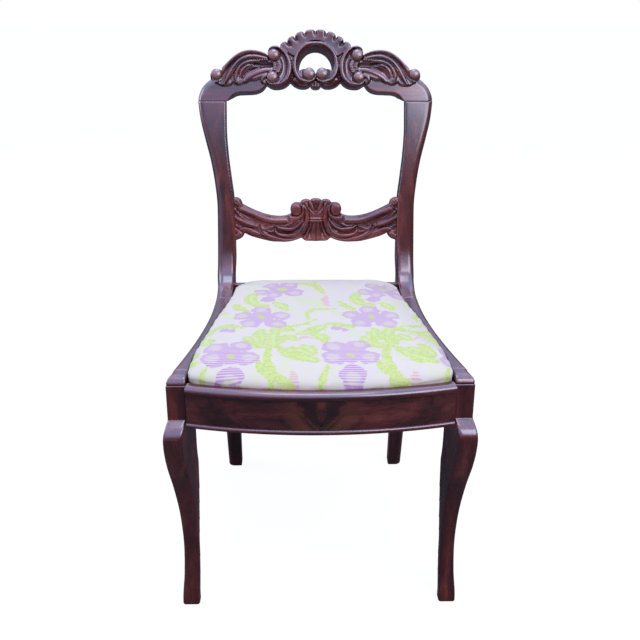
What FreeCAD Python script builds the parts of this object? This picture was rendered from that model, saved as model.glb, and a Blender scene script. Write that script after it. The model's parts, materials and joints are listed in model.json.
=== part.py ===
"""Balloon back side chair with a carved crest, a carved cross splat and a drop-in upholstered seat.

Millimetres. +Z is up, +X is the sitter's left as seen from the front, and the sitter faces -Y.
The origin is on the floor under the centre of the chair's outer box.
"""
import FreeCAD
import Part
import math
import os

V = FreeCAD.Vector
UP = V(0, 0, 1)

doc = FreeCAD.newDocument("balloon_back_chair")
sheet = doc.addObject("Spreadsheet::Sheet", "sizes")

# Driving sizes, in millimetres and degrees
SIZES = [
    ("overall_depth", 578, "front rail bead to the back of the crest"),
    ("post_width", 30, "front leg post, across its front face"),
    ("post_depth", 30, "front leg post, front to back"),
    ("front_width", 459, "outside of the two front posts"),
    ("ledge_height", 405, "rebate that the seat frame rests on"),
    ("rail_below_ledge", 49, "front seat rail below its rebate"),
    ("side_rebate", 26, "side rails above the rebate"),
    ("front_rebate", 18, "front rail bead above the rebate"),
    ("cap_thickness", 12, "rounded nose of the side rail over the front post"),
    ("knee_rise", 5, "step over the knee above the underside of the front rail"),
    ("rail_step", 6, "side and rear rails above the underside of the front rail"),
    ("knee_forward", 23, "how far the knee stands in front of its post"),
    ("knee_outward", 6.5, "how far the knee stands outside its post"),
    ("ankle_back", 25, "how far the ankle lies behind the post face"),
    ("ankle_inward", 8.5, "how far the ankle lies inside the post side"),
    ("ankle_width", 23, "front of the leg at the ankle"),
    ("foot_width", 28, "front foot, side to side"),
    ("foot_depth", 32, "front foot, front to back"),
    ("leg_edge", 4, "rounded edges of the front legs"),
    ("lip_width", 13, "front and rear rails left standing outside the rebate"),
    ("side_lip_width", 13, "side rails left standing outside the rebate"),
    ("post_clearance", 3, "gap between the drop-in seat and the front posts"),
    ("rail_thickness", 26, "seat rails, through their thickness"),
    ("bow_depth", 25.3, "how far the front rail bows forward"),
    ("rail_proud", 9.7, "front rail end in front of the post face"),
    ("veneer", 1.5, "crotch veneer on the front rail"),
    ("top_bead", 11, "height of the bead over the veneer"),
    ("bottom_bead", 5, "height of the bead under the veneer"),
    ("bead_proud", 3, "beads in front of the veneer"),
    ("side_rail_length", 287, "side rail between the front post and the rear post"),
    ("waist_half_width", 180, "outside of the rear posts at the seat"),
    ("stile_width", 31, "rear post at the seat, side to side"),
    ("stile_depth", 30, "rear post, front to back"),
    ("rear_foot_width", 29, "rear foot, side to side"),
    ("sabre_run", 53, "how far the rear foot stands behind the seat joint"),
    ("splat_rise", 75, "underside of the cross splat above the side rails"),
    ("splat_height", 76, "cross splat at its ends and centre"),
    ("splat_thickness", 20, "cross splat board"),
    ("stile_height", 318, "joint of post and crest above the side rails"),
    ("crest_height", 127, "crest above its joint, along its slope"),
    ("crest_thickness", 28, "crest board"),
    ("crest_rake", 21.3, "lean of the crest from the vertical"),
    ("shoulder_half_width", 211.5, "outside of the shoulders"),
    ("shoulder_inner", 161, "inside of the posts at the crest joint"),
    ("ring_radius", 46, "outside of the pierced ring"),
    ("ring_band", 8, "width of the ring's rounded band"),
    ("hole_radius", 31, "pierced hand hole at the back of the crest"),
    ("volute_radius", 10, "scroll buttons"),
    ("relief", 7, "carving in front of the crest board"),
    ("shell_radius", 70, "tips of the shell lobes from the ring centre"),
    ("rear_rail_thickness", 28, "rear seat rail"),
    ("seat_clearance", 1, "gap round the drop-in seat"),
    ("frame_thickness", 18, "drop-in seat frame"),
    ("frame_width", 48, "drop-in seat frame members"),
    ("cover_thickness", 1.2, "seat cover cloth and its lining"),
    ("crown_height", 18, "crown of the seat above the side rails"),
    ("seat_swell", 2, "how far the cushion swells over the rails"),
    ("web_width", 50, "upholstery webbing"),
    ("web_thickness", 1.2, "upholstery webbing"),
    ("dowel_diameter", 8, "dowels in the rail joints"),
    ("dowel_length", 36, "dowels in the rail joints"),
    ("crest_dowel_diameter", 11, "dowels in the crest joints"),
    ("block_leg", 44, "corner block along each rail"),
    ("block_drop", 5, "top of the corner blocks below the rebate"),
    ("screw_diameter", 4.5, "corner block screws"),
    ("screw_length", 30, "corner block screws"),
    ("tack_head", 9, "upholstery tack head"),
]
for row, (alias, number, note) in enumerate(SIZES, start=1):
    sheet.set("A%d" % row, alias)
    sheet.set("B%d" % row, str(number))
    sheet.set("C%d" % row, note)
    sheet.setAlias("B%d" % row, alias)
doc.recompute()


def size(alias):
    """A driving size, read back from the sheet."""
    return float(sheet.get(alias))


# Heights that follow from the driving sizes
LEDGE = size("ledge_height")
RAIL_BOTTOM = LEDGE - size("rail_below_ledge")
RAIL_TOP = LEDGE + size("side_rebate")
FRONT_RAIL_TOP = LEDGE + size("front_rebate")
SIDE_BOTTOM = RAIL_BOTTOM + size("rail_step")
POST_TOP = RAIL_TOP - size("cap_thickness")
KNEE_HEIGHT = RAIL_BOTTOM + size("knee_rise")
SPLAT_BOTTOM = RAIL_TOP + size("splat_rise")
CREST_JOINT = RAIL_TOP + size("stile_height")

# Places in plan that follow from the driving sizes
FRONT = -size("overall_depth") / 2
RAIL_END_Y = FRONT + size("bead_proud") + size("bow_depth")
POST_FRONT_Y = RAIL_END_Y + size("rail_proud")
POST_BACK_Y = POST_FRONT_Y + size("post_depth")
POST_OUT = size("front_width") / 2
POST_IN = POST_OUT - size("post_width")
BOW_RADIUS = (POST_IN ** 2 + size("bow_depth") ** 2) / (2 * size("bow_depth"))
BOW_CENTRE_Y = RAIL_END_Y - size("bow_depth") + BOW_RADIUS
ARM_Y = POST_BACK_Y + size("side_rail_length")
STILE_OUT = size("waist_half_width")
STILE_IN = STILE_OUT - size("stile_width")

RAKE = math.radians(size("crest_rake"))
SHELL_PLATE_INSET = 5
CREST_BACK_RUN = ((size("crest_height") - SHELL_PLATE_INSET) * math.sin(RAKE)
                  + size("crest_thickness") * math.cos(RAKE))
CREST_Y = size("overall_depth") / 2 - CREST_BACK_RUN
SEAT_Y = ARM_Y + 78
LEAN_HEIGHT = CREST_JOINT - RAIL_TOP


def smooth(points):
    """One smooth edge through a few points."""
    curve = Part.BSplineCurve()
    curve.interpolate([V(*p) for p in points])
    return curve.toShape()


def line(start, end):
    """One straight edge."""
    return Part.LineSegment(V(*start), V(*end)).toShape()


def closed_face(edges):
    """A face inside edges that join end to end."""
    return Part.Face(Part.Wire(Part.__sortEdges__(edges)))


def board(edges, low, high):
    """The outline's face, drawn at level 0, padded between two levels."""
    face = closed_face(edges)
    face.translate(V(0, 0, low))
    return face.extrude(V(0, 0, high - low))


def disc(x, y, radius, low, high):
    """A round boss between two levels."""
    return Part.makeCylinder(radius, high - low, V(x, y, low), UP)


def seat_side(y):
    """Side of the drop-in seat in plan: inside the front posts, along the rails, between the rear posts."""
    limit = POST_IN - size("post_clearance")
    bend = 4
    share = min(max((y - POST_BACK_Y) / (SEAT_Y - POST_BACK_Y), 0), 1)
    late = min(max((share - 0.44) / 0.48, 0), 1)
    pull = (side_line(ARM_Y) - STILE_IN + 1.5 - size("side_lip_width")) * late * late * (3 - 2 * late)
    along = side_line(min(y, ARM_Y)) - size("side_lip_width") - size("seat_clearance") - pull
    return along - bend * math.log(1 + math.exp((along - limit) / bend))


def rounded_section(corners, radii):
    """A closed outline round the corners, each corner an arc of its own radius."""
    count = len(corners)
    cuts = []
    for i in range(count):
        here = corners[i]
        before = (corners[i - 1] - here).normalize()
        after = (corners[(i + 1) % count] - here).normalize()
        half = before.getAngle(after) / 2
        reach = radii[i] / math.tan(half)
        middle = before + after
        middle.normalize()
        centre = here + middle * (radii[i] / math.sin(half))
        cuts.append((here + before * reach, centre - middle * radii[i], here + after * reach))
    edges = []
    for i in range(count):
        start, through, end = cuts[i]
        edges.append(Part.Arc(start, through, end).toShape())
        edges.append(Part.LineSegment(end, cuts[(i + 1) % count][0]).toShape())
    return Part.Wire(edges)


RIDGE_SINK = 4


def ridge(points, half_width, height, base, count):
    """A carved rib: an arris that runs along a smooth path and dies away at both ends."""
    route = smooth([(x, y, 0) for x, y in points])
    sections = []
    for i in range(count + 1):
        share = i / count
        parameter = route.getParameterByLength(route.Length * share)
        middle = route.valueAt(parameter)
        across = UP.cross(route.tangentAt(parameter))
        swell = 0.35 + 0.65 * math.sin(math.pi * share) ** 0.7
        left = middle + across * (half_width * swell)
        right = middle - across * (half_width * swell)
        top = middle + UP * (base + height * swell)
        corners = [left + UP * (base - RIDGE_SINK), right + UP * (base - RIDGE_SINK), right + UP * base, top,
                   left + UP * base]
        sections.append(Part.makePolygon(corners + corners[:1]))
    return Part.makeLoft(sections, True, True)


def mirrored(shape):
    """The same shape on the other side of the chair."""
    return shape.mirror(V(0, 0, 0), V(1, 0, 0))


def fused(shapes):
    """One solid from shapes that overlap."""
    whole = shapes[0].multiFuse(shapes[1:]).removeSplitter()
    return whole.Solids[0] if len(whole.Solids) == 1 else whole


def blend(stations, share):
    """A value between stations of (share, value), by a smooth curve through them."""
    for (a, low), (b, high) in zip(stations, stations[1:]):
        if share <= b:
            part = (share - a) / (b - a)
            part = part * part * (3 - 2 * part)
            return low + (high - low) * part
    return stations[-1][1]


def blend_line(stations, share):
    """A value between stations, by a curve through each station and its neighbours' slope."""
    last = len(stations) - 1
    for i in range(last):
        (a, low), (b, high) = stations[i], stations[i + 1]
        if share <= b:
            span = b - a
            part = (share - a) / span
            before, after = stations[max(i - 1, 0)], stations[min(i + 2, last)]
            rise = (high - before[1]) / (b - before[0]) * span
            fall = (after[1] - low) / (after[0] - a) * span
            return (low * (2 * part ** 3 - 3 * part ** 2 + 1) + rise * (part ** 3 - 2 * part ** 2 + part)
                    + high * (3 * part ** 2 - 2 * part ** 3) + fall * (part ** 3 - part ** 2))
    return stations[-1][1]


def side_line(y):
    """Outside of the seat in plan: a long S-curve from the front post back to the rear post."""
    share = (y - POST_FRONT_Y) / (ARM_Y - POST_FRONT_Y)
    sweep = (1 - share) ** 2 * (1 + 0.35 * share)
    return STILE_OUT - 0.5 + (POST_OUT - STILE_OUT + 0.5) * sweep


def stile_front(z):
    """Front face of the rear post above the seat, leaning back in a curve that meets the crest."""
    share = (z - RAIL_TOP) / LEAN_HEIGHT
    run = CREST_Y - SEAT_Y
    return SEAT_Y + run * (0.36 * share + 0.64 * share * share)


# Outlines of the rear post, seen from the front, between the seat rail and the crest joint
STILE_WAIST_SHARE = 0.42
SHOULDER_OUT = size("shoulder_half_width")
SHOULDER_IN = size("shoulder_inner")
STILE_OUTER = [(0, STILE_OUT + 2), (0.2, STILE_OUT), (STILE_WAIST_SHARE, STILE_OUT - 0.5),
               (1, SHOULDER_OUT)]
STILE_INNER = [(0, STILE_IN + 1), (0.2, STILE_IN - 1.5), (STILE_WAIST_SHARE, STILE_IN - 0.5),
               (0.9, SHOULDER_IN + 1), (1, SHOULDER_IN)]


def post_section(z, front, back, inner, outer):
    """Rear post section: crisp inner front arris, full round outer front edge, eased back edges."""
    corners = [V(inner, front, z), V(outer, front, z), V(outer, back, z), V(inner, back, z)]
    depth = back - front
    return rounded_section(corners, [depth * 0.08, depth * 0.36, depth * 0.2, depth * 0.12])


LEG_STEPS = 8
STILE_STEPS = 14


def make_rear_post():
    """Rear leg and stile in one sweep, with the forward arm that meets the side rail."""
    depth = size("stile_depth")
    foot = size("rear_foot_width")
    sections = []
    for i in range(LEG_STEPS):
        share = i / LEG_STEPS
        fall = (1 - share) ** 2
        front = SEAT_Y + size("sabre_run") * fall
        outer = STILE_OUT + 1 - 2.5 * fall
        width = foot + (size("stile_width") - foot) * share
        back = front + depth - fall
        sections.append(post_section(RAIL_BOTTOM * share, front, back, outer - width, outer))
    sections.append(post_section(RAIL_BOTTOM, SEAT_Y, SEAT_Y + depth, STILE_IN + 1, STILE_OUT + 1))
    for i in range(STILE_STEPS + 1):
        share = i / STILE_STEPS
        z = RAIL_TOP + LEAN_HEIGHT * share
        front = stile_front(z)
        inner = blend(STILE_INNER, share)
        sections.append(post_section(z, front, front + depth, inner, blend(STILE_OUTER, share)))
    post = Part.makeLoft(sections, True, True)
    sweep_top = RAIL_TOP + LEAN_HEIGHT * 0.38
    rise = sweep_top - RAIL_TOP
    reach = stile_front(sweep_top) + 0.6 - ARM_Y
    nose = [(0, ARM_Y + reach * along, RAIL_TOP + rise * up) for along, up in
            ((0, 0), (0.36, 0.03), (0.62, 0.16), (0.79, 0.4), (0.9, 0.68), (1, 1))]
    inside = SEAT_Y + depth / 2
    tail = (0, ARM_Y + reach + depth * 0.3, sweep_top)
    low = SIDE_BOTTOM
    edges = [
        smooth(nose),
        line(nose[-1], tail),
        line(tail, (0, inside, low)),
        line((0, inside, low), (0, ARM_Y, low)),
        line((0, ARM_Y, low), nose[0]),
    ]
    inner = seat_side(ARM_Y) + size("seat_clearance")
    arm = closed_face(edges)
    arm.translate(V(inner, 0, 0))
    arm = arm.extrude(V(STILE_OUT - 0.5 - inner, 0, 0))
    rounded = []
    for edge in arm.Edges:
        points = [edge.valueAt(edge.FirstParameter), edge.valueAt(edge.LastParameter)]
        if all(abs(p.x - STILE_OUT + 0.5) < 0.01 for p in points) and edge.Length > rise:
            if max(p.z for p in points) > sweep_top - 0.1 and min(p.y for p in points) < ARM_Y + 0.1:
                rounded.append(edge)
    arm = arm.makeFillet(size("stile_depth") * 0.25, rounded)
    return fused([post, arm])


STEP_SHARE = 0.955


def leg_section(share, stations):
    """Section of the front leg at a share of the knee height, read off its stations."""
    ahead, out, width, depth, lean, widen = [
        blend_line([(row[0], row[1 + i]) for row in stations], share) for i in range(6)]
    z = KNEE_HEIGHT * share
    front = POST_FRONT_Y - ahead
    outer = POST_OUT + out
    corners = [
        V(outer - width, front, z),
        V(outer, front, z),
        V(outer - lean, front + depth, z),
        V(outer - lean - width - widen, front + depth, z),
    ]
    return rounded_section(corners, [size("leg_edge")] * 4)


def make_front_leg():
    """Square post with a cabriole leg below it: stepped knee, slim ankle and a small turned-out foot."""
    knee = KNEE_HEIGHT
    edge = size("leg_edge")
    splay = side_line(POST_FRONT_Y) - side_line(POST_BACK_Y)
    post_corners = [
        (POST_IN, POST_FRONT_Y),
        (POST_OUT, POST_FRONT_Y),
        (POST_OUT - splay, POST_BACK_Y),
        (POST_IN, POST_BACK_Y),
    ]
    post = Part.Face(rounded_section([V(x, y, knee - 1) for x, y in post_corners], [1.5] * 4))
    post = post.extrude(V(0, 0, POST_TOP - knee + 1))
    forward = size("knee_forward")
    outward = size("knee_outward")
    back = size("ankle_back")
    inward = size("ankle_inward")
    stations = [
        # share of knee height, forward, outward, front width, depth, splay at the back, back inner widening
        (0, -back + 6, -2.5, size("foot_width"), size("foot_depth"), 0, 1),
        (0.04, -back + 5.5, -2.8, size("foot_width") - 0.5, size("foot_depth") - 0.5, 0, 1),
        (0.16, -back, -inward + 2, size("ankle_width") + 1.5, size("foot_depth") - 3, 1, 4),
        (0.31, -back, -inward, size("ankle_width"), size("foot_depth") - 3, 3, 5),
        (0.5, -back + 8, -inward + 2, size("ankle_width") + 2, size("foot_depth") + 1, 5, 5),
        (0.66, -back + 21, -1, size("ankle_width") + 5, size("foot_depth") + 8, 7, 6),
        (0.8, forward * 0.55, outward * 0.75, size("post_width") - 1, size("foot_depth") + 15, 10, 6),
        (0.9, forward * 0.95, outward, size("post_width") - 1, size("foot_depth") + 19, 12, 6),
        (0.955, forward, outward - 0.5, size("post_width") - 1, size("foot_depth") + 20, 12, 6),
        (1, forward * 0.2, outward * 0.1, size("post_width"), size("foot_depth") + 2, splay, -splay),
    ]
    sections = []
    for i in range(LEG_STEPS * 2 + 1):
        share = STEP_SHARE * i / (LEG_STEPS * 2)
        sections.append(leg_section(share, stations))
    sections.append(leg_section(1, stations))
    leg = Part.makeLoft(sections, True, True)
    return fused([leg, post])


def rail_section(y):
    """Section of the side rail: rounded outer top edge, lip, and rebate ledge."""
    outer = side_line(y)
    inner = outer - size("rail_thickness")
    lip = seat_side(y) + size("seat_clearance")
    inner = min(inner, lip - 2)
    low = SIDE_BOTTOM
    ledge = LEDGE
    top = RAIL_TOP
    radius = 5
    shift = radius * (1 - math.sqrt(0.5))
    arc = Part.Arc(V(outer, y, top - radius), V(outer - shift, y, top - shift), V(outer - radius, y, top))
    corners = [V(outer - radius, y, top), V(lip, y, top), V(lip, y, ledge), V(inner, y, ledge),
               V(inner, y, low), V(outer, y, low), V(outer, y, top - radius)]
    edges = [Part.LineSegment(a, b).toShape() for a, b in zip(corners, corners[1:])]
    return Part.Wire([arc.toShape()] + edges)


RAIL_STEPS = 12


def make_side_rail():
    """Side rail with its rebate, and the rounded nose that caps the front post."""
    top = RAIL_TOP
    run = ARM_Y - POST_BACK_Y
    sections = [rail_section(POST_BACK_Y + run * i / RAIL_STEPS) for i in range(RAIL_STEPS + 1)]
    body = Part.makeLoft(sections, True, True)
    splay = side_line(POST_FRONT_Y) - side_line(POST_BACK_Y)
    cap_corners = [
        V(POST_IN + 0.3, POST_FRONT_Y - 1.5, POST_TOP),
        V(POST_OUT + 0.5, POST_FRONT_Y - 1.5, POST_TOP),
        V(POST_OUT - splay, POST_BACK_Y, POST_TOP),
        V(seat_side(POST_BACK_Y) + size("seat_clearance"), POST_BACK_Y, POST_TOP),
    ]
    radius = size("post_width") * 0.3
    cap = Part.Face(rounded_section(cap_corners, [radius, radius, 0.4, 0.4]))
    cap = cap.extrude(V(0, 0, top - POST_TOP))
    rims = [edge for edge in cap.Edges if abs(edge.CenterOfMass.z - top) < 0.01
            and edge.CenterOfMass.y < POST_BACK_Y - 2]
    cap = cap.makeFillet(4, rims)
    return fused([body, cap])


def bow_piece(profile, half_width):
    """A profile of (out from the rail face, height), swept round the bow and cut off square."""
    corners = [V(0, BOW_CENTRE_Y - BOW_RADIUS - out, z) for out, z in profile]
    face = Part.Face(Part.makePolygon(corners + corners[:1]))
    turn = math.degrees(math.asin(POST_IN / BOW_RADIUS)) + 2
    axis = V(0, BOW_CENTRE_Y, 0)
    face.rotate(axis, UP, -turn)
    swept = face.revolve(axis, UP, 2 * turn)
    reach = size("overall_depth")
    slab = Part.makeBox(2 * half_width, reach, reach, V(-half_width, FRONT - reach / 2, 0))
    return swept.common(slab)


def bead_profile(low, high, back, proud):
    """A bead section with a half round nose, as a short polygon fan."""
    radius = (high - low) / 2
    steps = 6
    nose = []
    for i in range(steps + 1):
        angle = math.pi * i / steps - math.pi / 2
        out = proud - radius * 0.6 + radius * 0.6 * math.cos(angle)
        nose.append((out, (low + high) / 2 + radius * math.sin(angle)))
    return [(back, low)] + nose + [(back, high)]


VENEER_LOW = RAIL_BOTTOM + size("bottom_bead")
VENEER_HIGH = FRONT_RAIL_TOP - size("top_bead")


def make_front_rail():
    """Core of the bowed front rail, with the rebate behind its lip."""
    skin = -size("veneer")
    lip = skin - size("lip_width") + size("veneer")
    back = -size("rail_thickness")
    low = RAIL_BOTTOM
    ledge = LEDGE
    profile = [
        (back, low), (skin - 2.5, low), (skin - 2.5, VENEER_LOW), (skin, VENEER_LOW),
        (skin, VENEER_HIGH), (lip, VENEER_HIGH), (lip, ledge), (back, ledge),
    ]
    return bow_piece(profile, POST_IN)


def make_veneer():
    """One leaf of the bookmatched veneer, from the centre joint to the right-hand post."""
    skin = -size("veneer")
    profile = [(skin, VENEER_LOW), (0, VENEER_LOW), (0, VENEER_HIGH), (skin, VENEER_HIGH)]
    whole = bow_piece(profile, POST_IN)
    reach = size("overall_depth")
    return whole.common(Part.makeBox(reach, 2 * reach, reach, V(0, -reach, 0)))


def make_rear_rail():
    """Rear seat rail with its rebate."""
    half = STILE_IN + 1.2
    low = SIDE_BOTTOM
    front = REAR_RAIL_Y
    width = 2 * half
    base = Part.makeBox(width, size("rear_rail_thickness"), LEDGE - low, V(-half, front, low))
    lip_y = front + size("rear_rail_thickness") - size("lip_width")
    lip = Part.makeBox(width, size("lip_width"), FRONT_RAIL_TOP - low, V(-half, lip_y, low))
    return fused([base, lip])


REAR_RAIL_Y = SEAT_Y - 10


def crest_place():
    """From the crest's own plane, x across, y up its slope and z out of its face, to the chair."""
    tilt = FreeCAD.Rotation(V(1, 0, 0), 90 - size("crest_rake"))
    return FreeCAD.Placement(V(0, CREST_Y, CREST_JOINT), tilt)


def make_crest():
    """Carved crest in its own plane: pierced ring, shell, C-scrolls, leaf panels and shoulders."""
    unit = size("crest_height") / 127
    wide = SHOULDER_OUT / 211.5
    back = -size("crest_thickness")
    relief = size("relief")
    ring = size("ring_radius")
    volute = size("volute_radius")
    centre_y = size("crest_height") - size("shell_radius")
    out = SHOULDER_OUT
    half = []
    lower = [(60 * wide, 33 * unit, 0), (86 * wide, 28 * unit, 0), (95 * wide, 21 * unit, 0),
             (106 * wide, 16.4 * unit, 0), (124 * wide, 15 * unit, 0), (SHOULDER_IN - 20, 14 * unit, 0),
             (SHOULDER_IN - 9, 7.5 * unit, 0), (SHOULDER_IN - 2, -5, 0), (SHOULDER_IN + 0.6, -16, 0)]
    shoulder = [(out - 0.4, -16, 0), (out, -2, 0), (out - 2, 12 * unit, 0), (out - 8, 26 * unit, 0),
                (out - 22, 41 * unit, 0), (out - 35, 50 * unit, 0)]
    leaf_top = [(out - 35, 50 * unit, 0), (160 * wide, 63 * unit, 0), (145 * wide, 78.6 * unit, 0),
                (130 * wide, 86.7 * unit, 0), (112 * wide, 89.5 * unit, 0), (92 * wide, 86 * unit, 0),
                (60 * wide, 82 * unit, 0)]
    half.append(board([smooth(lower), line(lower[-1], shoulder[0]), smooth(shoulder), smooth(leaf_top),
                       line(leaf_top[-1], lower[0])], back, 0))
    leaf_low = [(out - 38, 28 * unit, 0), (160 * wide, 25 * unit, 0), (150 * wide, 27 * unit, 0),
                (142 * wide, 31 * unit, 0), (132 * wide, 28.5 * unit, 0), (124 * wide, 34 * unit, 0),
                (100 * wide, 38 * unit, 0), (80 * wide, 42 * unit, 0)]
    leaf_end = [(out - 35, 50 * unit, 0), (out - 33, 38 * unit, 0), (out - 38, 28 * unit, 0)]
    leaf_rise = [(out - 35, 50 * unit, 0), (158 * wide, 62 * unit, 0), (143 * wide, 77 * unit, 0),
                 (128 * wide, 84.5 * unit, 0), (110 * wide, 87 * unit, 0), (92 * wide, 84 * unit, 0),
                 (80 * wide, 82 * unit, 0)]
    half.append(board([smooth(leaf_rise), smooth(leaf_end), smooth(leaf_low),
                       line(leaf_low[-1], leaf_rise[-1])], -2, relief * 0.5))
    ribs = [
        [(84, 81), (115, 83), (140, 73), (158, 56), (170, 44)],
        [(88, 73), (112, 74), (134, 64), (150, 48), (163, 32)],
        [(88, 66), (108, 66), (126, 58), (138, 46), (144, 34)],
        [(92, 58), (106, 57), (118, 50), (126, 40), (130, 33)],
    ]
    for path in ribs:
        half.append(ridge([(x * wide, y * unit) for x, y in path], 4, relief * 0.5, relief * 0.4, 8))
    c_x = 78 * wide
    c_y = 61 * unit
    c_radius = 36 * unit
    scroll = disc(c_x, c_y, c_radius, back, relief)
    scroll = scroll.cut(disc(c_x + 7, c_y, c_radius - 11, back - 1, relief + 1))
    beyond = 2 * c_radius
    open_side = V(c_x, c_y - beyond, back - beyond / 2)
    scroll = scroll.cut(Part.makeBox(beyond, 2 * beyond, 2 * beyond, open_side))
    channel = disc(c_x, c_y, c_radius - 4, relief - 3, relief + 1)
    channel = channel.cut(disc(c_x + 5, c_y, c_radius - 9, relief - 4, relief + 2))
    half.append(scroll.cut(channel))
    half.append(disc(c_x + 4, c_y, c_radius - 10, back + 4, -2))
    curl = volute + 2.5
    half.append(disc(c_x - 2, c_y + c_radius - curl - 1, curl, back + 2, relief))
    half.append(disc(c_x - 1, c_y - c_radius + curl + 2, curl, back + 2, relief))
    half.append(disc(c_x - 3, c_y + 20 * unit, volute, relief - 1, relief + 3))
    half.append(disc(c_x - 2, c_y - 19 * unit, volute, relief - 1, relief + 3))
    half.append(disc(out - 34, 47.7 * unit, volute, back + 4, relief + 3))
    half.append(disc(22 * wide, 41 * unit, 17.5 * unit, back, relief))
    half.append(disc(12.8 * wide, centre_y - 10, volute, back, relief + 3))
    lobe_step = 14.6
    for i in range(4):
        angle = math.radians(90 - lobe_step * (i + 0.5))
        along = V(math.cos(angle), math.sin(angle), 0)
        start = V(0, centre_y, -4) + along * (ring - 3)
        tip = 8.8
        reach = size("shell_radius") - tip - ring + 3
        half.append(Part.makeCone(5.4, tip, reach, start, along))
        half.append(Part.makeSphere(tip, start + along * reach))
    right = fused(half)
    plate = disc(0, centre_y, size("shell_radius") - SHELL_PLATE_INSET, back, -4)
    trim = Part.makeBox(200, 60, 60, V(-100, centre_y - 62, back - 1))
    plate = plate.cut(trim)
    core = disc(0, centre_y, ring, back, relief - 3)
    bevel = size("ring_band") * 0.35
    band = Part.makeCone(ring, ring - bevel, bevel, V(0, centre_y, relief - 3), UP)
    drop = 10 * wide
    pendant = board([line((-drop, 42 * unit, 0), (drop, 42 * unit, 0)),
                     smooth([(drop, 42 * unit, 0), (drop * 0.8, 29 * unit, 0), (0, 23.6 * unit, 0),
                             (-drop * 0.8, 29 * unit, 0), (-drop, 42 * unit, 0)])], back + 4, relief - 2)
    whole = fused([core, plate, band])
    mouth = Part.makeCone(size("hole_radius"), ring - size("ring_band"), size("crest_thickness") + relief,
                          V(0, centre_y, back), UP)
    rim = Part.makeCone(ring - size("ring_band"), ring - size("ring_band") + bevel, bevel + 0.01,
                        V(0, centre_y, relief - 3), UP)
    whole = whole.cut(mouth).cut(rim)
    below = Part.makeBox(4 * ring, 2 * ring, 4 * ring, V(-2 * ring, centre_y - 2 * ring - 17, back - ring))
    whole = whole.cut(below)
    crest = fused([whole, right, mirrored(right), pendant])
    crest.Placement = crest_place()
    reach = 2 * size("crest_height")
    under = Part.makeBox(4 * SHOULDER_OUT, 2 * reach, reach,
                         V(-2 * SHOULDER_OUT, CREST_Y - reach, CREST_JOINT - reach))
    return crest.cut(under)


def make_splat():
    """Carved cross splat in its own plane: end lobes, torus bars, scrolls and a small central shell."""
    tall = size("splat_height")
    unit = tall / 76
    back = -size("splat_thickness")
    end = SPLAT_HALF
    top = [(end, 74 * unit, 0), (end - 9, 75 * unit, 0), (end - 17, 66 * unit, 0), (end - 40, 55 * unit, 0),
           (90, 48 * unit, 0), (68, 44.5 * unit, 0), (40, 46 * unit, 0)]
    low = [(end, 3 * unit, 0), (end - 8, 4 * unit, 0), (end - 16, 13 * unit, 0), (end - 30, 9 * unit, 0),
           (95, 1 * unit, 0), (68, -1 * unit, 0), (40, 2 * unit, 0), (20, 6 * unit, 0)]
    inner = (20, 50 * unit, 0)
    body = board([smooth(top), line(top[-1], inner), line(inner, low[-1]), smooth(low), line(low[0], top[0])],
                 back, 0)
    bar = ridge([(42, 40 * unit), (70, 39 * unit), (100, 46 * unit), (end - 12, 60 * unit)], 6, 5, 0, 8)
    sweep = [(24, 46 * unit), (18, 30 * unit), (30, 15 * unit), (58, 12 * unit), (98, 29 * unit)]
    leaf = ridge(sweep, 6, 5, 0, 12)
    tip = ridge([(30, 34 * unit), (38, 25 * unit), (54, 23 * unit), (72, 32 * unit)], 4.5, 4, 0, 8)
    volute = disc(36, 57 * unit, size("volute_radius"), back + 2, 5)
    half = fused([body, bar, leaf, tip, volute])
    fan_low = 4 * unit
    pieces = [half, mirrored(half)]
    fan = [(-24, 6 * unit, 0), (-24, 58 * unit, 0), (24, 58 * unit, 0), (24, 6 * unit, 0)]
    pieces.append(board([line(fan[0], fan[1]), line(fan[1], fan[2]), line(fan[2], fan[3]),
                         smooth([fan[3], (0, 0, 0), fan[0]])], back, 1))
    for x, y, radius in ((0, 63, 13), (18, 62, 12), (-18, 62, 12)):
        pieces.append(disc(x, y * unit, radius * unit, back, 2))
    for turn in (-2, -1, 0, 1, 2):
        foot = V(turn * 8.5, fan_low + 1, 0)
        neck = V(turn * 3.5, 34 * unit, 0)
        length = (neck - foot).Length
        pieces.append(Part.makeCone(4, 1.6, length, foot, neck - foot))
    splat = fused(pieces)
    splat.Placement = splat_place()
    return splat


SPLAT_LEAN = math.degrees(math.atan2(stile_front(SPLAT_BOTTOM + size("splat_height"))
                                     - stile_front(SPLAT_BOTTOM), size("splat_height")))
SPLAT_SHARE = (SPLAT_BOTTOM + size("splat_height") / 2 - RAIL_TOP) / LEAN_HEIGHT
SPLAT_HALF = blend(STILE_INNER, SPLAT_SHARE) + 0.5
SPLAT_INSET = 4


def splat_place():
    """The splat's own plane stands a little behind the front faces of the posts."""
    tilt = FreeCAD.Rotation(V(1, 0, 0), 90 - SPLAT_LEAN)
    return FreeCAD.Placement(V(0, stile_front(SPLAT_BOTTOM) + SPLAT_INSET, SPLAT_BOTTOM), tilt)


SEAT_REAR_Y = REAR_RAIL_Y + size("rear_rail_thickness") - size("lip_width") - size("seat_clearance")
SEAT_FRONT_RADIUS = BOW_RADIUS - size("lip_width") - size("seat_clearance")


SIDE_POINTS = 8


def quarter_turn(x, y, reach_x, reach_y, z):
    """Points on a quarter of an ellipse, from straight along Y to straight along X of its centre."""
    points = []
    for i in range(4):
        angle = math.pi / 6 * i
        points.append((x + reach_x * math.sin(angle), y + reach_y * math.cos(angle), z))
    return points


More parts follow.
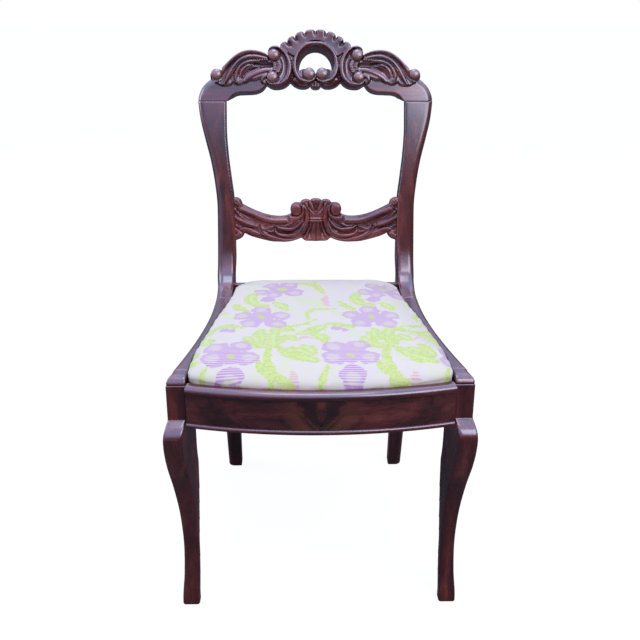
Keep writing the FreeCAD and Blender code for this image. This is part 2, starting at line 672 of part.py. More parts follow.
def seat_outline(z, inset):
    """Plan of the drop-in seat at one level: bowed front, S-curved sides, straight back, rounded."""
    front_radius = SEAT_FRONT_RADIUS - inset
    rear = SEAT_REAR_Y - inset
    front_corner = max(14 - inset * 0.3, 6)
    rear_corner = max(34 - inset * 0.3, 8)
    corner_x = POST_IN - size("post_clearance") - inset - front_corner
    side_front = BOW_CENTRE_Y - math.sqrt(front_radius ** 2 - corner_x ** 2) + front_corner
    side_rear = rear - rear_corner
    side = []
    for i in range(SIDE_POINTS + 1):
        y = side_front + (side_rear - side_front) * i / SIDE_POINTS
        side.append((seat_side(y) - inset, y, z))
    front_x = side[0][0] - front_corner
    front_y = BOW_CENTRE_Y - math.sqrt(front_radius ** 2 - front_x ** 2)
    rear_x = side[-1][0] - rear_corner
    bow = Part.Arc(V(-front_x, front_y, z), V(0, BOW_CENTRE_Y - front_radius, z), V(front_x, front_y, z))
    edges = [bow.toShape()]
    edges.append(smooth(quarter_turn(front_x, side[0][1], side[0][0] - front_x, front_y - side[0][1], z)))
    edges.append(smooth(side))
    edges.append(smooth(quarter_turn(rear_x, side[-1][1], side[-1][0] - rear_x, rear - side[-1][1], z)))
    edges.append(line((rear_x, rear, z), (-rear_x, rear, z)))
    for index in (3, 2, 1):
        edges.append(mirrored(edges[index]))
    return Part.Wire(Part.__sortEdges__(edges))


def seat_slab(inset, low, high):
    """A flat slab of the seat's plan."""
    face = Part.Face(seat_outline(low, inset))
    return face.extrude(V(0, 0, high - low))


def seat_body(inset, bottom, crown):
    """The stuffed seat: straight where it sits in the rebate, swollen over the rails, crowned on top."""
    top = RAIL_TOP
    swell = size("seat_swell")
    levels = [
        (bottom, 0), (top + 0.5, -0.3), (top + 2, -swell * 0.75), (top + crown * 0.2, -swell),
        (top + crown * 0.4, -swell * 0.55), (top + crown * 0.58, swell * 1.2), (top + crown * 0.76, 19),
        (top + crown * 0.9, 46), (top + crown, 105),
    ]
    sections = [seat_outline(z, inset + move) for z, move in levels]
    return Part.makeLoft(sections, True, True)


FRAME_LOW = LEDGE + size("cover_thickness")
FRAME_HIGH = FRAME_LOW + size("frame_thickness")
SOFT_GAP = 0.3
WEB = size("web_thickness")
HESSIAN_LOW = FRAME_HIGH + 2 * WEB
HESSIAN_THICKNESS = 0.8
FLANGE_WIDTH = 30
LEDGE_REACH = 16


def make_seat_frame():
    """Front, back, left and right members of the drop-in frame."""
    inset = size("cover_thickness") + SOFT_GAP
    ring = seat_slab(inset, FRAME_LOW, FRAME_HIGH)
    width = size("frame_width")
    opening = seat_slab(inset + width, FRAME_LOW - 1, FRAME_HIGH + 1)
    ring = ring.cut(opening)
    front_edge = BOW_CENTRE_Y - SEAT_FRONT_RADIUS + inset + width + 12
    rear_edge = SEAT_REAR_Y - inset - width
    reach = size("overall_depth")
    half = size("front_width")
    members = {}
    spans = (("front", -reach, front_edge, -half, half), ("back", rear_edge, reach, -half, half),
             ("right", front_edge, rear_edge, 0, half), ("left", front_edge, rear_edge, -half, 0))
    for name, near, far, low_x, high_x in spans:
        slab = Part.makeBox(high_x - low_x, far - near, reach, V(low_x, near, FRAME_LOW - reach / 2))
        members[name] = ring.common(slab).Solids[0]
    return members, front_edge, rear_edge


def frame_dowels(front_edge, rear_edge):
    """Two dowels across each corner joint of the drop-in frame."""
    pegs = []
    length = size("dowel_length")
    for y in (front_edge, rear_edge):
        centre = seat_side(y) - size("frame_width") / 2 - 2
        for offset in (-10, 10):
            start = V(centre + offset, y - length / 2, FRAME_LOW + size("frame_thickness") / 2)
            pegs.append(Part.makeCylinder(size("dowel_diameter") / 2, length, start, V(0, 1, 0)))
    return pegs + [mirrored(peg) for peg in pegs]


def octagon(x, y, radius, low, high):
    """A small eight-sided disc."""
    points = []
    for i in range(9):
        angle = math.pi / 4 * (i + 0.5)
        points.append(V(x + radius * math.cos(angle), y + radius * math.sin(angle), low))
    return Part.Face(Part.makePolygon(points)).extrude(V(0, 0, high - low))


def tack(x, y, level, sense):
    """An upholstery tack: thin head on the cloth, square shank in the wood; sense +1 puts the head on top."""
    head = octagon(x, y, size("tack_head") / 2, min(level, level + sense), max(level, level + sense))
    depth = 9
    start = level - depth if sense > 0 else level - 0.5
    shank = Part.makeBox(1.6, 1.6, depth + 0.5, V(x - 0.8, y - 0.8, start))
    return fused([head, shank])


def make_webbing():
    """Three straps front to back, three straps across them, and the tacks that hold the ends."""
    width = size("web_width")
    along = []
    across = []
    tacks = []
    front = BOW_CENTRE_Y - SEAT_FRONT_RADIUS + 18
    rear = SEAT_REAR_Y - 14
    for x in (-1.35 * width, 0, 1.35 * width):
        along.append(Part.makeBox(width, rear - front, WEB, V(x - width / 2, front, FRAME_HIGH)))
        for y in (front + 10, rear - 10):
            for offset in (-width * 0.3, width * 0.3):
                tacks.append(tack(x + offset, y, FRAME_HIGH + WEB, 1))
    room = rear - front - 2 * size("frame_width")
    for i in range(3):
        y = front + size("frame_width") + room * (i + 0.5) / 3
        reach = seat_side(y) - 16
        inner = seat_side(y) - size("frame_width") + 2
        strap = Part.makeBox(2 * inner, width, WEB, V(-inner, y - width / 2, FRAME_HIGH + WEB))
        parts = [strap]
        for sense in (-1, 1):
            low_x = min(sense * inner, sense * reach)
            parts.append(Part.makeBox(reach - inner, width, WEB, V(low_x, y - width / 2, FRAME_HIGH)))
            fold_x = sense * inner if sense > 0 else -inner - 3
            parts.append(Part.makeBox(3, width, 2 * WEB, V(fold_x, y - width / 2, FRAME_HIGH)))
            for offset in (-width * 0.3, width * 0.3):
                tacks.append(tack(sense * (reach - 9), y + offset, FRAME_HIGH + WEB, 1))
        across.append(fused(parts))
    return along, across, tacks


def make_cover_tacks():
    """Tacks through the lining and the turned-under cloth, round the underside of the frame."""
    level = LEDGE - HESSIAN_THICKNESS
    tacks = []
    inset = LEDGE_REACH + 7
    for share in (0.12, 0.38, 0.64, 0.9):
        y = POST_BACK_Y + (SEAT_REAR_Y - POST_BACK_Y) * share
        tacks.append(tack(seat_side(y) - inset, y, level, -1))
    pairs = tacks + [mirrored(peg) for peg in tacks]
    for x in (-120, -40, 40, 120):
        y = BOW_CENTRE_Y - math.sqrt((SEAT_FRONT_RADIUS - inset) ** 2 - x * x)
        pairs.append(tack(x, y, level, -1))
    for x in (-90, 0, 90):
        pairs.append(tack(x, SEAT_REAR_Y - inset, level, -1))
    return pairs


def rod(start, end, radius):
    """A round peg between two points."""
    along = V(*end) - V(*start)
    return Part.makeCylinder(radius, along.Length, V(*start), along)


def make_dowels():
    """Glued dowels of the seat rails, the cross splat and the crest, by group."""
    radius = size("dowel_diameter") / 2
    half = size("dowel_length") / 2
    groups = {"front_rail_dowels": [], "side_rail_dowels": [], "rear_rail_dowels": [], "splat_dowels": [],
              "crest_dowels": []}
    rail_y = POST_FRONT_Y + radius + 2
    side_x = side_line(POST_BACK_Y) - size("rail_thickness") / 2
    arm_x = side_line(ARM_Y) - size("rail_thickness") / 2
    rear_y = REAR_RAIL_Y + size("rear_rail_thickness") * 0.62
    inner = STILE_IN + 1.2
    for z in (RAIL_BOTTOM + 18, LEDGE - 9):
        groups["front_rail_dowels"].append(
            rod((POST_IN - half, rail_y, z), (POST_IN + half * 0.9, rail_y, z), radius))
        groups["side_rail_dowels"].append(
            rod((side_x, POST_BACK_Y - half * 0.8, z), (side_x, POST_BACK_Y + half, z), radius))
        groups["side_rail_dowels"].append(rod((arm_x, ARM_Y - half, z), (arm_x, ARM_Y + half, z), radius))
        groups["rear_rail_dowels"].append(rod((inner - half, rear_y, z), (inner + half, rear_y, z), radius))
    place = splat_place()
    for rise in (0.32, 0.68):
        _, y, z = place.multVec(V(0, size("splat_height") * rise, -size("splat_thickness") / 2))
        groups["splat_dowels"].append(rod((SPLAT_HALF - half, y, z), (SPLAT_HALF + half * 0.8, y, z), radius))
    along = V(0, math.sin(RAKE), math.cos(RAKE))
    crest_radius = size("crest_dowel_diameter") / 2
    for x in (SHOULDER_IN + 17, SHOULDER_OUT - 16):
        centre = V(x, CREST_Y + size("crest_thickness") / 2 + 1, CREST_JOINT)
        groups["crest_dowels"].append(rod(centre - along * 24, centre + along * 24, crest_radius))
    for name in groups:
        groups[name] += [mirrored(peg) for peg in groups[name]]
    return groups


def make_corner_blocks(walls):
    """Glue blocks in the corners of the seat frame, cut to fit the rails round them."""
    leg = size("block_leg")
    low = RAIL_BOTTOM + 8
    front_x = side_line(POST_BACK_Y) - size("rail_thickness")
    front_y = POST_BACK_Y - 12
    inner = seat_side(ARM_Y) + size("seat_clearance")
    outlines = {
        "front": [(front_x + 20, front_y - 14), (front_x - leg, front_y - 14),
                  (front_x + 2, front_y + leg + 4)],
        "rear": [(inner, REAR_RAIL_Y), (inner - leg, REAR_RAIL_Y), (inner, REAR_RAIL_Y - leg)],
    }
    blocks = {}
    for name, points in outlines.items():
        corners = [V(x, y, low) for x, y in points]
        face = Part.Face(Part.makePolygon(corners + corners[:1]))
        block = face.extrude(V(0, 0, LEDGE - size("block_drop") - low))
        for wall in walls:
            block = block.cut(wall)
        blocks[name] = max(block.Solids, key=lambda solid: solid.Volume)
    return blocks


def screw(start, along):
    """A countersunk wood screw that starts at a block's face."""
    radius = size("screw_diameter") / 2
    head = Part.makeCone(radius * 2, radius, radius, start, along)
    shank = Part.makeCylinder(radius, size("screw_length"), start, along)
    return fused([head, shank])


def make_block_screws():
    """Two screws through each corner block, one into each rail."""
    low = RAIL_BOTTOM + 8
    high = LEDGE - size("block_drop")
    front_x = side_line(POST_BACK_Y) - size("rail_thickness")
    inner = seat_side(ARM_Y) + size("seat_clearance")
    third = size("block_leg") / 3
    screws = [
        screw(V(front_x - third * 1.6, POST_BACK_Y - 8, low + 11), V(0, -1, 0)),
        screw(V(front_x - third, POST_BACK_Y + third - 8, high - 11), V(1, 0, 0)),
        screw(V(inner - third, REAR_RAIL_Y - third * 2, low + 11), V(0, 1, 0)),
        screw(V(inner - third * 2, REAR_RAIL_Y - third, high - 11), V(1, 0, 0)),
    ]
    return screws + [mirrored(item) for item in screws]


def add_feature(name, shape, placement=None):
    """A document object that holds a worked-out shape."""
    item = doc.addObject("Part::Feature", name)
    item.Label = name
    item.Shape = shape
    if placement is not None:
        item.Placement = placement
    return item


def add_pair(stem, shape):
    """The same piece on both sides of the chair."""
    return [add_feature(stem + "_right", shape), add_feature(stem + "_left", mirrored(shape))]


def bored(shape, pegs):
    """The piece with holes for the pegs that enter it."""
    near = [peg for peg in pegs if peg.BoundBox.intersect(shape.BoundBox)]
    if not near:
        return shape
    cut = shape.cut(near)
    return max(cut.Solids, key=lambda solid: solid.Volume)


def add_group(name, solids):
    """Several separate solids of one kind, kept as one node."""
    return add_feature(name, Part.makeCompound(solids))


# Main pieces, right-hand side first
rear_post = make_rear_post()
front_leg = make_front_leg()
side_rail = make_side_rail()
front_rail = make_front_rail()
rear_rail = make_rear_rail()
both_posts = [rear_post, mirrored(rear_post)]
both_legs = [front_leg, mirrored(front_leg)]
rear_rail = rear_rail.cut(both_posts)
front_rail = front_rail.cut(both_legs)
crest = make_crest()
splat = make_splat()
dowels = make_dowels()
splat = splat.cut(both_posts)
blocks = make_corner_blocks([front_leg, front_rail, side_rail, rear_post, rear_rail])
screws = make_block_screws()
pegs = [peg for group in dowels.values() for peg in group] + screws

add_pair("rear_post", bored(rear_post, pegs))
add_pair("front_leg", bored(front_leg, pegs))
add_pair("side_rail", bored(side_rail, pegs))
add_feature("front_seat_rail", bored(front_rail, pegs))
add_feature("rear_seat_rail", bored(rear_rail, pegs))
add_feature("crest_rail", bored(crest, pegs))
add_feature("cross_splat", bored(splat, pegs))
add_pair("front_rail_veneer", make_veneer())
bead_proud = size("bead_proud")
upper_bead = bead_profile(VENEER_HIGH, FRONT_RAIL_TOP, -size("lip_width"), bead_proud)
lower_bead = bead_profile(RAIL_BOTTOM, VENEER_LOW, -size("veneer") - 2.5, bead_proud - 1)
add_feature("front_rail_top_bead", bow_piece(upper_bead, POST_IN).cut(both_legs))
add_feature("front_rail_bottom_bead", bow_piece(lower_bead, POST_IN).cut(both_legs))
for corner, block in blocks.items():
    add_pair("corner_block_" + corner, bored(block, screws))
for name, group in dowels.items():
    add_group(name, group)
add_group("corner_block_screws", screws)

# Drop-in seat, which lifts out
members, front_edge, rear_edge = make_seat_frame()
frame_pegs = frame_dowels(front_edge, rear_edge)
along_straps, across_straps, web_tacks = make_webbing()
cover_tacks = make_cover_tacks()
for name, member in members.items():
    add_feature("seat_frame_" + name, bored(member, frame_pegs + web_tacks + cover_tacks))
add_group("seat_frame_dowels", frame_pegs)
add_group("webbing_front_to_back", [bored(strap, web_tacks) for strap in along_straps])
add_group("webbing_crosswise", [bored(strap, web_tacks) for strap in across_straps])
add_group("webbing_tacks", web_tacks)
add_feature("hessian", seat_slab(8, HESSIAN_LOW, HESSIAN_LOW + HESSIAN_THICKNESS))
cloth = size("cover_thickness")
crown = size("crown_height")
add_feature("seat_stuffing", seat_body(cloth + SOFT_GAP, HESSIAN_LOW + HESSIAN_THICKNESS + SOFT_GAP,
                                       crown - cloth - SOFT_GAP))
cover = seat_body(0, LEDGE, crown).cut(seat_body(cloth, FRAME_LOW, crown - cloth))
cover = cover.cut(seat_slab(FLANGE_WIDTH, LEDGE - 1, FRAME_LOW + 1))
add_feature("seat_cover", bored(cover, cover_tacks))
lining = seat_slab(LEDGE_REACH, LEDGE - HESSIAN_THICKNESS, LEDGE)
add_feature("dust_cover", bored(lining, cover_tacks))
add_group("cover_tacks", cover_tacks)

doc.recompute()
pieces = [item for item in doc.Objects if item.TypeId != "Spreadsheet::Sheet"]
for item in pieces:
    if {"Invalid", "Error"} & set(item.State):
        raise RuntimeError(item.Label + " was left failed")
    if item.Shape.isNull() or not item.Shape.isValid() or not item.Shape.Solids:
        raise RuntimeError(item.Label + " has no valid shape")
os.makedirs("parts", exist_ok=True)
for item in pieces:
    item.Shape.exportStep("parts/" + item.Label + ".step")
    print(item.Label, len(item.Shape.Solids), round(item.Shape.Volume / 1000, 1))
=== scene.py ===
"""Looks of the balloon back side chair: carved mahogany, a crotch veneered rail and a floral drop-in seat.

Lengths are in millimetres in the shape functions and are turned into metres when a mesh is made.
"""

import math

import bpy
import numpy as np
from mathutils import Matrix, Vector
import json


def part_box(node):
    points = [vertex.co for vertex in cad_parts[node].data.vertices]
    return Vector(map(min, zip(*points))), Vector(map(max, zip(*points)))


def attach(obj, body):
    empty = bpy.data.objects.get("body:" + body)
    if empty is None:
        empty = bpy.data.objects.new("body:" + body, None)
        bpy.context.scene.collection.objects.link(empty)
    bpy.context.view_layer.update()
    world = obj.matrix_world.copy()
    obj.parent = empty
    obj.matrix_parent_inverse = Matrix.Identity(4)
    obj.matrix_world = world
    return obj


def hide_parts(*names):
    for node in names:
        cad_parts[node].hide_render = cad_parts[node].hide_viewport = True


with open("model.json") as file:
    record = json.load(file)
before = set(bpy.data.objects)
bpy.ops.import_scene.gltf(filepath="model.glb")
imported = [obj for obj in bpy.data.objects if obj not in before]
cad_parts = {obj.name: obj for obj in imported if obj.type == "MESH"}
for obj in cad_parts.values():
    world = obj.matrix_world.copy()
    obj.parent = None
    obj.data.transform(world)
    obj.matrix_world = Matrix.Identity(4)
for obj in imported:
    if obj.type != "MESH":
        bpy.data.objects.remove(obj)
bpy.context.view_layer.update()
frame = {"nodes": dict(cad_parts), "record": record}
MM = 0.001


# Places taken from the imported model
def place(node):
    """Lowest and highest corner of a node, in millimetres."""
    low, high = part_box(node)
    return np.array(low) / MM, np.array(high) / MM


RAIL_TOP = place("side_rail_right")[1][2]
RAIL_LOW = place("side_rail_right")[0][2]
RAIL_FOOT = place("front_seat_rail")[0][2]
BEAD_TOP = place("front_rail_top_bead")[1][2]
LEDGE = place("dust_cover")[1][2]
FRAME_TOP = place("seat_frame_front")[1][2]
CREST_JOINT = place("crest_rail")[0][2]
LEG_TOP = place("front_leg_right")[1][2]
ARM_Y = place("side_rail_right")[1][1]
CHAIR_BACK = place("crest_rail")[1][1]

# Other driving sizes, in millimetres, as in the construction
LEG_IN, LEG_OUT = 199.5, 229.5
LEG_FRONT, LEG_BACK = -251.0, -221.0
KNEE = 361.0
WAIST_IN, WAIST_OUT = 149.0, 180.0
SEAT_Y = ARM_Y + 78
SABRE = 53.0
LIP = 13.0
RAKE = math.radians(21.3)
CREST_Y = CHAIR_BACK - 122 * math.sin(RAKE) - 28 * math.cos(RAKE)
SPLAT_FOOT = RAIL_TOP + 75
BOW_RADIUS, BOW_Y = 799.0, 513.0
SPLAY = 7.7

# Of the looks alone: steps round the bow, and how deep in the post the curve of the arm ends
BOW_STEPS = 72
ARM_SINK = 3.2


# Shape helpers
def through(points, per=10):
    """Points along a smooth curve through a few points."""
    p = np.array(points, float)
    if len(p) < 3:
        return p
    p = np.vstack([2 * p[0] - p[1], p, 2 * p[-1] - p[-2]])
    share = np.linspace(0, 1, per, endpoint=False)[:, None]
    runs = []
    for a, b, c, d in zip(p, p[1:], p[2:], p[3:]):
        runs.append(0.5 * (2 * b + (c - a) * share + (2 * a - 5 * b + 4 * c - d) * share ** 2
                           + (3 * b - a - 3 * c + d) * share ** 3))
    return np.vstack(runs + [p[-2:-1]])


def near(x, y, line):
    """Distance to a line of points, and how far along it the nearest point lies, from 0 to 1."""
    best = np.full(np.broadcast(x, y).shape, 1e9)
    along = np.zeros_like(best)
    runs = np.hypot(*np.diff(line, axis=0).T)
    total = runs.sum()
    gone = 0.0
    for (ax, ay), (bx, by), run in zip(line, line[1:], runs):
        share = np.clip(((x - ax) * (bx - ax) + (y - ay) * (by - ay)) / max(run * run, 1e-9), 0, 1)
        gap = (x - ax - share * (bx - ax)) ** 2 + (y - ay - share * (by - ay)) ** 2
        closer = gap < best
        best = np.where(closer, gap, best)
        along = np.where(closer, (gone + share * run) / total, along)
        gone += run
    return np.sqrt(best), along


def enclosed(x, y, line):
    """True where a point lies inside a closed line of points."""
    odd = np.zeros(np.broadcast(x, y).shape, bool)
    for (ax, ay), (bx, by) in zip(line, np.roll(line, -1, axis=0)):
        if ay == by:
            continue
        odd ^= ((ay > y) != (by > y)) & (x < (bx - ax) * (y - ay) / (by - ay) + ax)
    return odd


def outline(x, y, runs, open_runs=()):
    """Signed distance to a closed outline, negative inside, from smooth runs that meet at corners."""
    lines = [through(run) for run in runs]
    gap = np.full(np.broadcast(x, y).shape, 1e9)
    for number, line in enumerate(lines):
        if number not in open_runs:
            gap = np.minimum(gap, near(x, y, line)[0])
    return np.where(enclosed(x, y, np.vstack(lines)), -gap, gap)


def disc(x, y, cx, cy, radius):
    """Signed distance to a circle."""
    return np.hypot(x - cx, y - cy) - radius


def eased(gap, radius):
    """How far a rounded edge falls away, by the distance in from the edge."""
    inside = np.clip(gap, 0, radius)
    return radius - np.sqrt(np.maximum(radius ** 2 - (radius - inside) ** 2, 0))


def soft_max(a, b, width):
    """The larger of two values, with the corner between them rounded."""
    h = np.clip(0.5 + 0.5 * (a - b) / width, 0, 1)
    return b + (a - b) * h + width * h * (1 - h)


def soft_min(a, b, width):
    """The smaller of two values, with the corner between them rounded."""
    return -soft_max(-a, -b, width)


def rounded_corner(a, b, radius):
    """Signed distance to a round corner, from the distances to two lines set in by its radius."""
    return np.minimum(np.maximum(a, b), 0) + np.hypot(np.maximum(a, 0), np.maximum(b, 0)) - radius


def blurred(values):
    """A height map with its sharpest steps softened."""
    for axis in (0, 1):
        last = values.shape[axis] - 1
        before = np.take(values, np.r_[0, np.arange(last)], axis)
        after = np.take(values, np.r_[np.arange(1, last + 1), last], axis)
        values = 0.5 * values + 0.25 * (before + after)
    return values


def ring_faces(total, count, closed=False):
    """Quads that join each ring of points to the next, and the last to the first where they close."""
    faces = []
    for i in range(total if closed else total - 1):
        here, there = i * count, (i + 1) % total * count
        for k in range(count):
            after = (k + 1) % count
            faces.append((here + k, here + after, there + after, there + k))
    return faces


class Relief:
    """Height of carving above a board, built up feature by feature on a grid."""

    def __init__(self, x, y, level):
        self.x, self.y = x, y
        self.height = np.broadcast_to(level, np.broadcast(x, y).shape).astype(float).copy()

    def put(self, where, height):
        """A new surface over part of the board."""
        self.height = np.where(where, height, self.height)

    def lift(self, where, height):
        """A surface that only adds to what is there."""
        self.put(where, np.maximum(self.height, height))

    def sink(self, where, height):
        """A surface that only takes away from what is there."""
        self.put(where, np.minimum(self.height, height))

    def trench(self, gap, half, depth, where=True):
        """A soft cut where a distance is near zero."""
        self.height = self.height - depth * np.exp(-(gap / half) ** 2) * where

    def rib(self, points, half, rise, base=0.0, ends=0.35, sharp=0.5):
        """A rolled rib along a curve, tapering to its ends."""
        gap, along = near(self.x, self.y, through(points))
        width = half * (ends + (1 - ends) * np.sin(np.pi * np.clip(along, 0.02, 0.98)) ** 0.6)
        share = np.clip(1 - (gap / width) ** 2, 0, 1) ** sharp
        self.lift(gap < width, base + rise * share * (width / half))

    def band(self, points, half, rise, base=0.0):
        """A band of even width along a curve."""
        gap, _ = near(self.x, self.y, through(points))
        self.lift(gap < half, base + rise * np.clip(1 - (gap / half) ** 2, 0, 1) ** 0.5)

    def groove(self, points, half, depth, ends=0.3):
        """A cut along a curve."""
        gap, along = near(self.x, self.y, through(points))
        fade = ends + (1 - ends) * np.sin(np.pi * np.clip(along, 0.0, 1.0)) ** 0.5
        self.trench(gap, half * fade, depth * fade)

    def button(self, cx, cy, radius, rise, base):
        """A domed button."""
        gap = np.hypot(self.x - cx, self.y - cy) / radius
        self.lift(gap < 1, base + rise * np.clip(1 - gap ** 2, 0, 1) ** 0.5)

    def pit(self, cx, cy, radius, depth):
        """A small round hollow."""
        self.trench(disc(self.x, self.y, cx, cy, 0), radius, depth)


def surface(field, low, high, step):
    """Vertices and faces of the level surface of a field, by joining the crossings of a grid of cells."""
    axes = [np.arange(a, b + step, step, dtype=np.float32) for a, b in zip(low, high)]
    x, y, z = np.meshgrid(*axes, indexing="ij", sparse=True)
    f = np.ascontiguousarray(np.broadcast_to(field(x, y, z), [len(a) for a in axes]), dtype=np.float32)
    inside = f < 0
    count = np.zeros([n - 1 for n in f.shape], np.int8)
    for corner in np.ndindex(2, 2, 2):
        count += inside[tuple(slice(c, c + n) for c, n in zip(corner, count.shape))]
    mixed = (count > 0) & (count < 8)
    cells = np.argwhere(mixed)
    number = np.full(count.shape, -1, np.int64)
    number[mixed] = np.arange(len(cells))
    total = np.zeros((len(cells), 3))
    hits = np.zeros(len(cells))
    for axis in range(3):
        for pair in np.ndindex(2, 2):
            start = np.insert(np.array(pair), axis, 0)
            end = start.copy()
            end[axis] = 1
            a = f[tuple((cells + start).T)]
            b = f[tuple((cells + end).T)]
            cross = (a < 0) != (b < 0)
            share = np.where(cross, a / np.where(cross, a - b, 1), 0)
            spot = np.tile(start.astype(float), (len(cells), 1))
            spot[:, axis] = share
            total += spot * cross[:, None]
            hits += cross
    points = np.array(low) + step * (cells + total / hits[:, None])
    faces = []
    for axis in range(3):
        u, v = (axis + 1) % 3, (axis + 2) % 3
        near_side = [slice(None)] * 3
        far_side = [slice(None)] * 3
        near_side[axis] = slice(0, -1)
        far_side[axis] = slice(1, None)
        first = inside[tuple(near_side)]
        edges = np.argwhere(first != inside[tuple(far_side)])
        keep = (edges[:, u] > 0) & (edges[:, v] > 0)
        keep &= (edges[:, u] < f.shape[u] - 1) & (edges[:, v] < f.shape[v] - 1)
        edges = edges[keep]
        du = np.eye(3, dtype=int)[u]
        dv = np.eye(3, dtype=int)[v]
        quad = np.stack([number[tuple((edges - move).T)] for move in (0 * du, du, du + dv, dv)], 1)
        outward = first[tuple(edges.T)]
        quad[~outward] = quad[~outward][:, ::-1]
        faces.append(quad)
    return points, np.vstack(faces)


def relaxed(points, faces, times, share=0.5):
    """Vertices eased towards their neighbours, and how far each stands proud of them."""
    pairs = np.vstack([faces[:, [0, 1]], faces[:, [1, 2]], faces[:, [2, 3]], faces[:, [3, 0]]])
    degree = np.bincount(pairs[:, 0], minlength=len(points))[:, None]

    def mean(values):
        return np.stack([np.bincount(pairs[:, 0], values[pairs[:, 1], k], len(points))
                         for k in range(values.shape[1])], 1) / degree

    for _ in range(times):
        points = points + share * (mean(points) - points)
    normal = np.cross(points[faces[:, 2]] - points[faces[:, 0]], points[faces[:, 3]] - points[faces[:, 1]])
    total = np.zeros_like(points)
    for k in range(4):
        for c in range(3):
            total[:, c] += np.bincount(faces[:, k], normal[:, c], len(points))
    total /= np.maximum(np.linalg.norm(total, axis=1, keepdims=True), 1e-12)
    proud = -((mean(points) - points) * total).sum(1, keepdims=True)
    for _ in range(4):
        proud = 0.4 * proud + 0.6 * mean(proud)
    return points, proud[:, 0]


def add_object(name, data):
    """A new object in the scene."""
    item = bpy.data.objects.new(name, data)
    bpy.context.scene.collection.objects.link(item)
    return item


def mark(item, name, values):
    """A number for each vertex, which a material reads by its name."""
    attribute = item.data.attributes.new(name, "FLOAT", "POINT")
    attribute.data.foreach_set("value", np.asarray(values, dtype=np.float32))


def read_points(item):
    """Vertex places of an object, in metres."""
    flat = np.empty(3 * len(item.data.vertices), np.float32)
    item.data.vertices.foreach_get("co", flat)
    return flat.reshape(-1, 3).astype(float)


def write_points(item, points):
    """Put the vertices of an object at new places, in metres."""
    item.data.vertices.foreach_set("co", points.astype(np.float32).ravel())
    item.data.update()


def make_piece(name, points, faces, material, body="root"):
    """A smooth mesh object from millimetre points and faces, riding on a body."""
    mesh = bpy.data.meshes.new(name)
    points = np.asarray(points, float) * MM
    if isinstance(faces, np.ndarray):
        mesh.vertices.add(len(points))
        mesh.vertices.foreach_set("co", points.astype(np.float32).ravel())
        mesh.loops.add(faces.size)
        mesh.loops.foreach_set("vertex_index", faces.astype(np.int32).ravel())
        mesh.polygons.add(len(faces))
        mesh.polygons.foreach_set("loop_start", np.arange(0, faces.size, faces.shape[1], dtype=np.int32))
        mesh.update(calc_edges=True)
    else:
        mesh.from_pydata(points.tolist(), [], faces)
        mesh.update()
    mesh.polygons.foreach_set("use_smooth", np.full(len(mesh.polygons), True))
    mesh.materials.append(material)
    item = add_object(name, mesh)
    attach(item, body)
    return item


def carved(name, field, low, high, step, material, node_name, to_chair=None, relax=1, level=1.0):
    """A carved piece cut out of a field, put in its place, which stands for a CAD node."""
    points, faces = surface(field, low, high, step)
    points, proud = relaxed(points, faces, relax)
    item = make_piece(name, to_chair(points) if to_chair else points, faces, material)
    mark(item, "proud", proud / step * level)
    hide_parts(node_name)
    return item


def bare_spots(item, spots):
    """Mark the places of the crest where the finish is worn off, as (across, up the slope, radius)."""
    p = read_points(item) / MM
    across = np.abs(p[:, 0])
    up = (p[:, 1] - CREST_Y) * math.sin(RAKE) + (p[:, 2] - CREST_JOINT) * math.cos(RAKE)
    share = np.zeros(len(p))
    for cx, cy, radius in spots:
        share = np.maximum(share, np.exp(-(np.hypot(across - cx, up - cy) / radius) ** 4))
    mark(item, "bare", share)


def other_side(item, name, node_name):
    """The same piece on the left of the chair."""
    mesh = item.data.copy()
    mesh.transform(Matrix.Scale(-1, 4, (1, 0, 0)))
    mesh.flip_normals()
    twin = add_object(name, mesh)
    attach(twin, "root")
    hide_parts(node_name)


# Crest rail
CREST_LOW = [(88, 31), (92, 25), (97, 20.5), (105, 17), (115, 15.5), (130, 15), (140, 14), (148, 10.5),
             (154, 4), (159, -4), (161.3, -14)]
SHOULDER = [(211, -14), (211.4, 0), (209.5, 13), (204, 25.5), (196.5, 34.5)]
SCROLL_LOW = [(45.5, 36), (50, 31), (57, 26.6), (65, 24.6), (73, 24.2), (80, 26), (88, 31)]
# Centres of the buttons, across and up the slope
UPPER_BUTTON, LOWER_BUTTON = (75, 81.6), (77.4, 42.2)
RING_BUTTON, END_BUTTON = (11.7, 48.2), (177.6, 47.4)


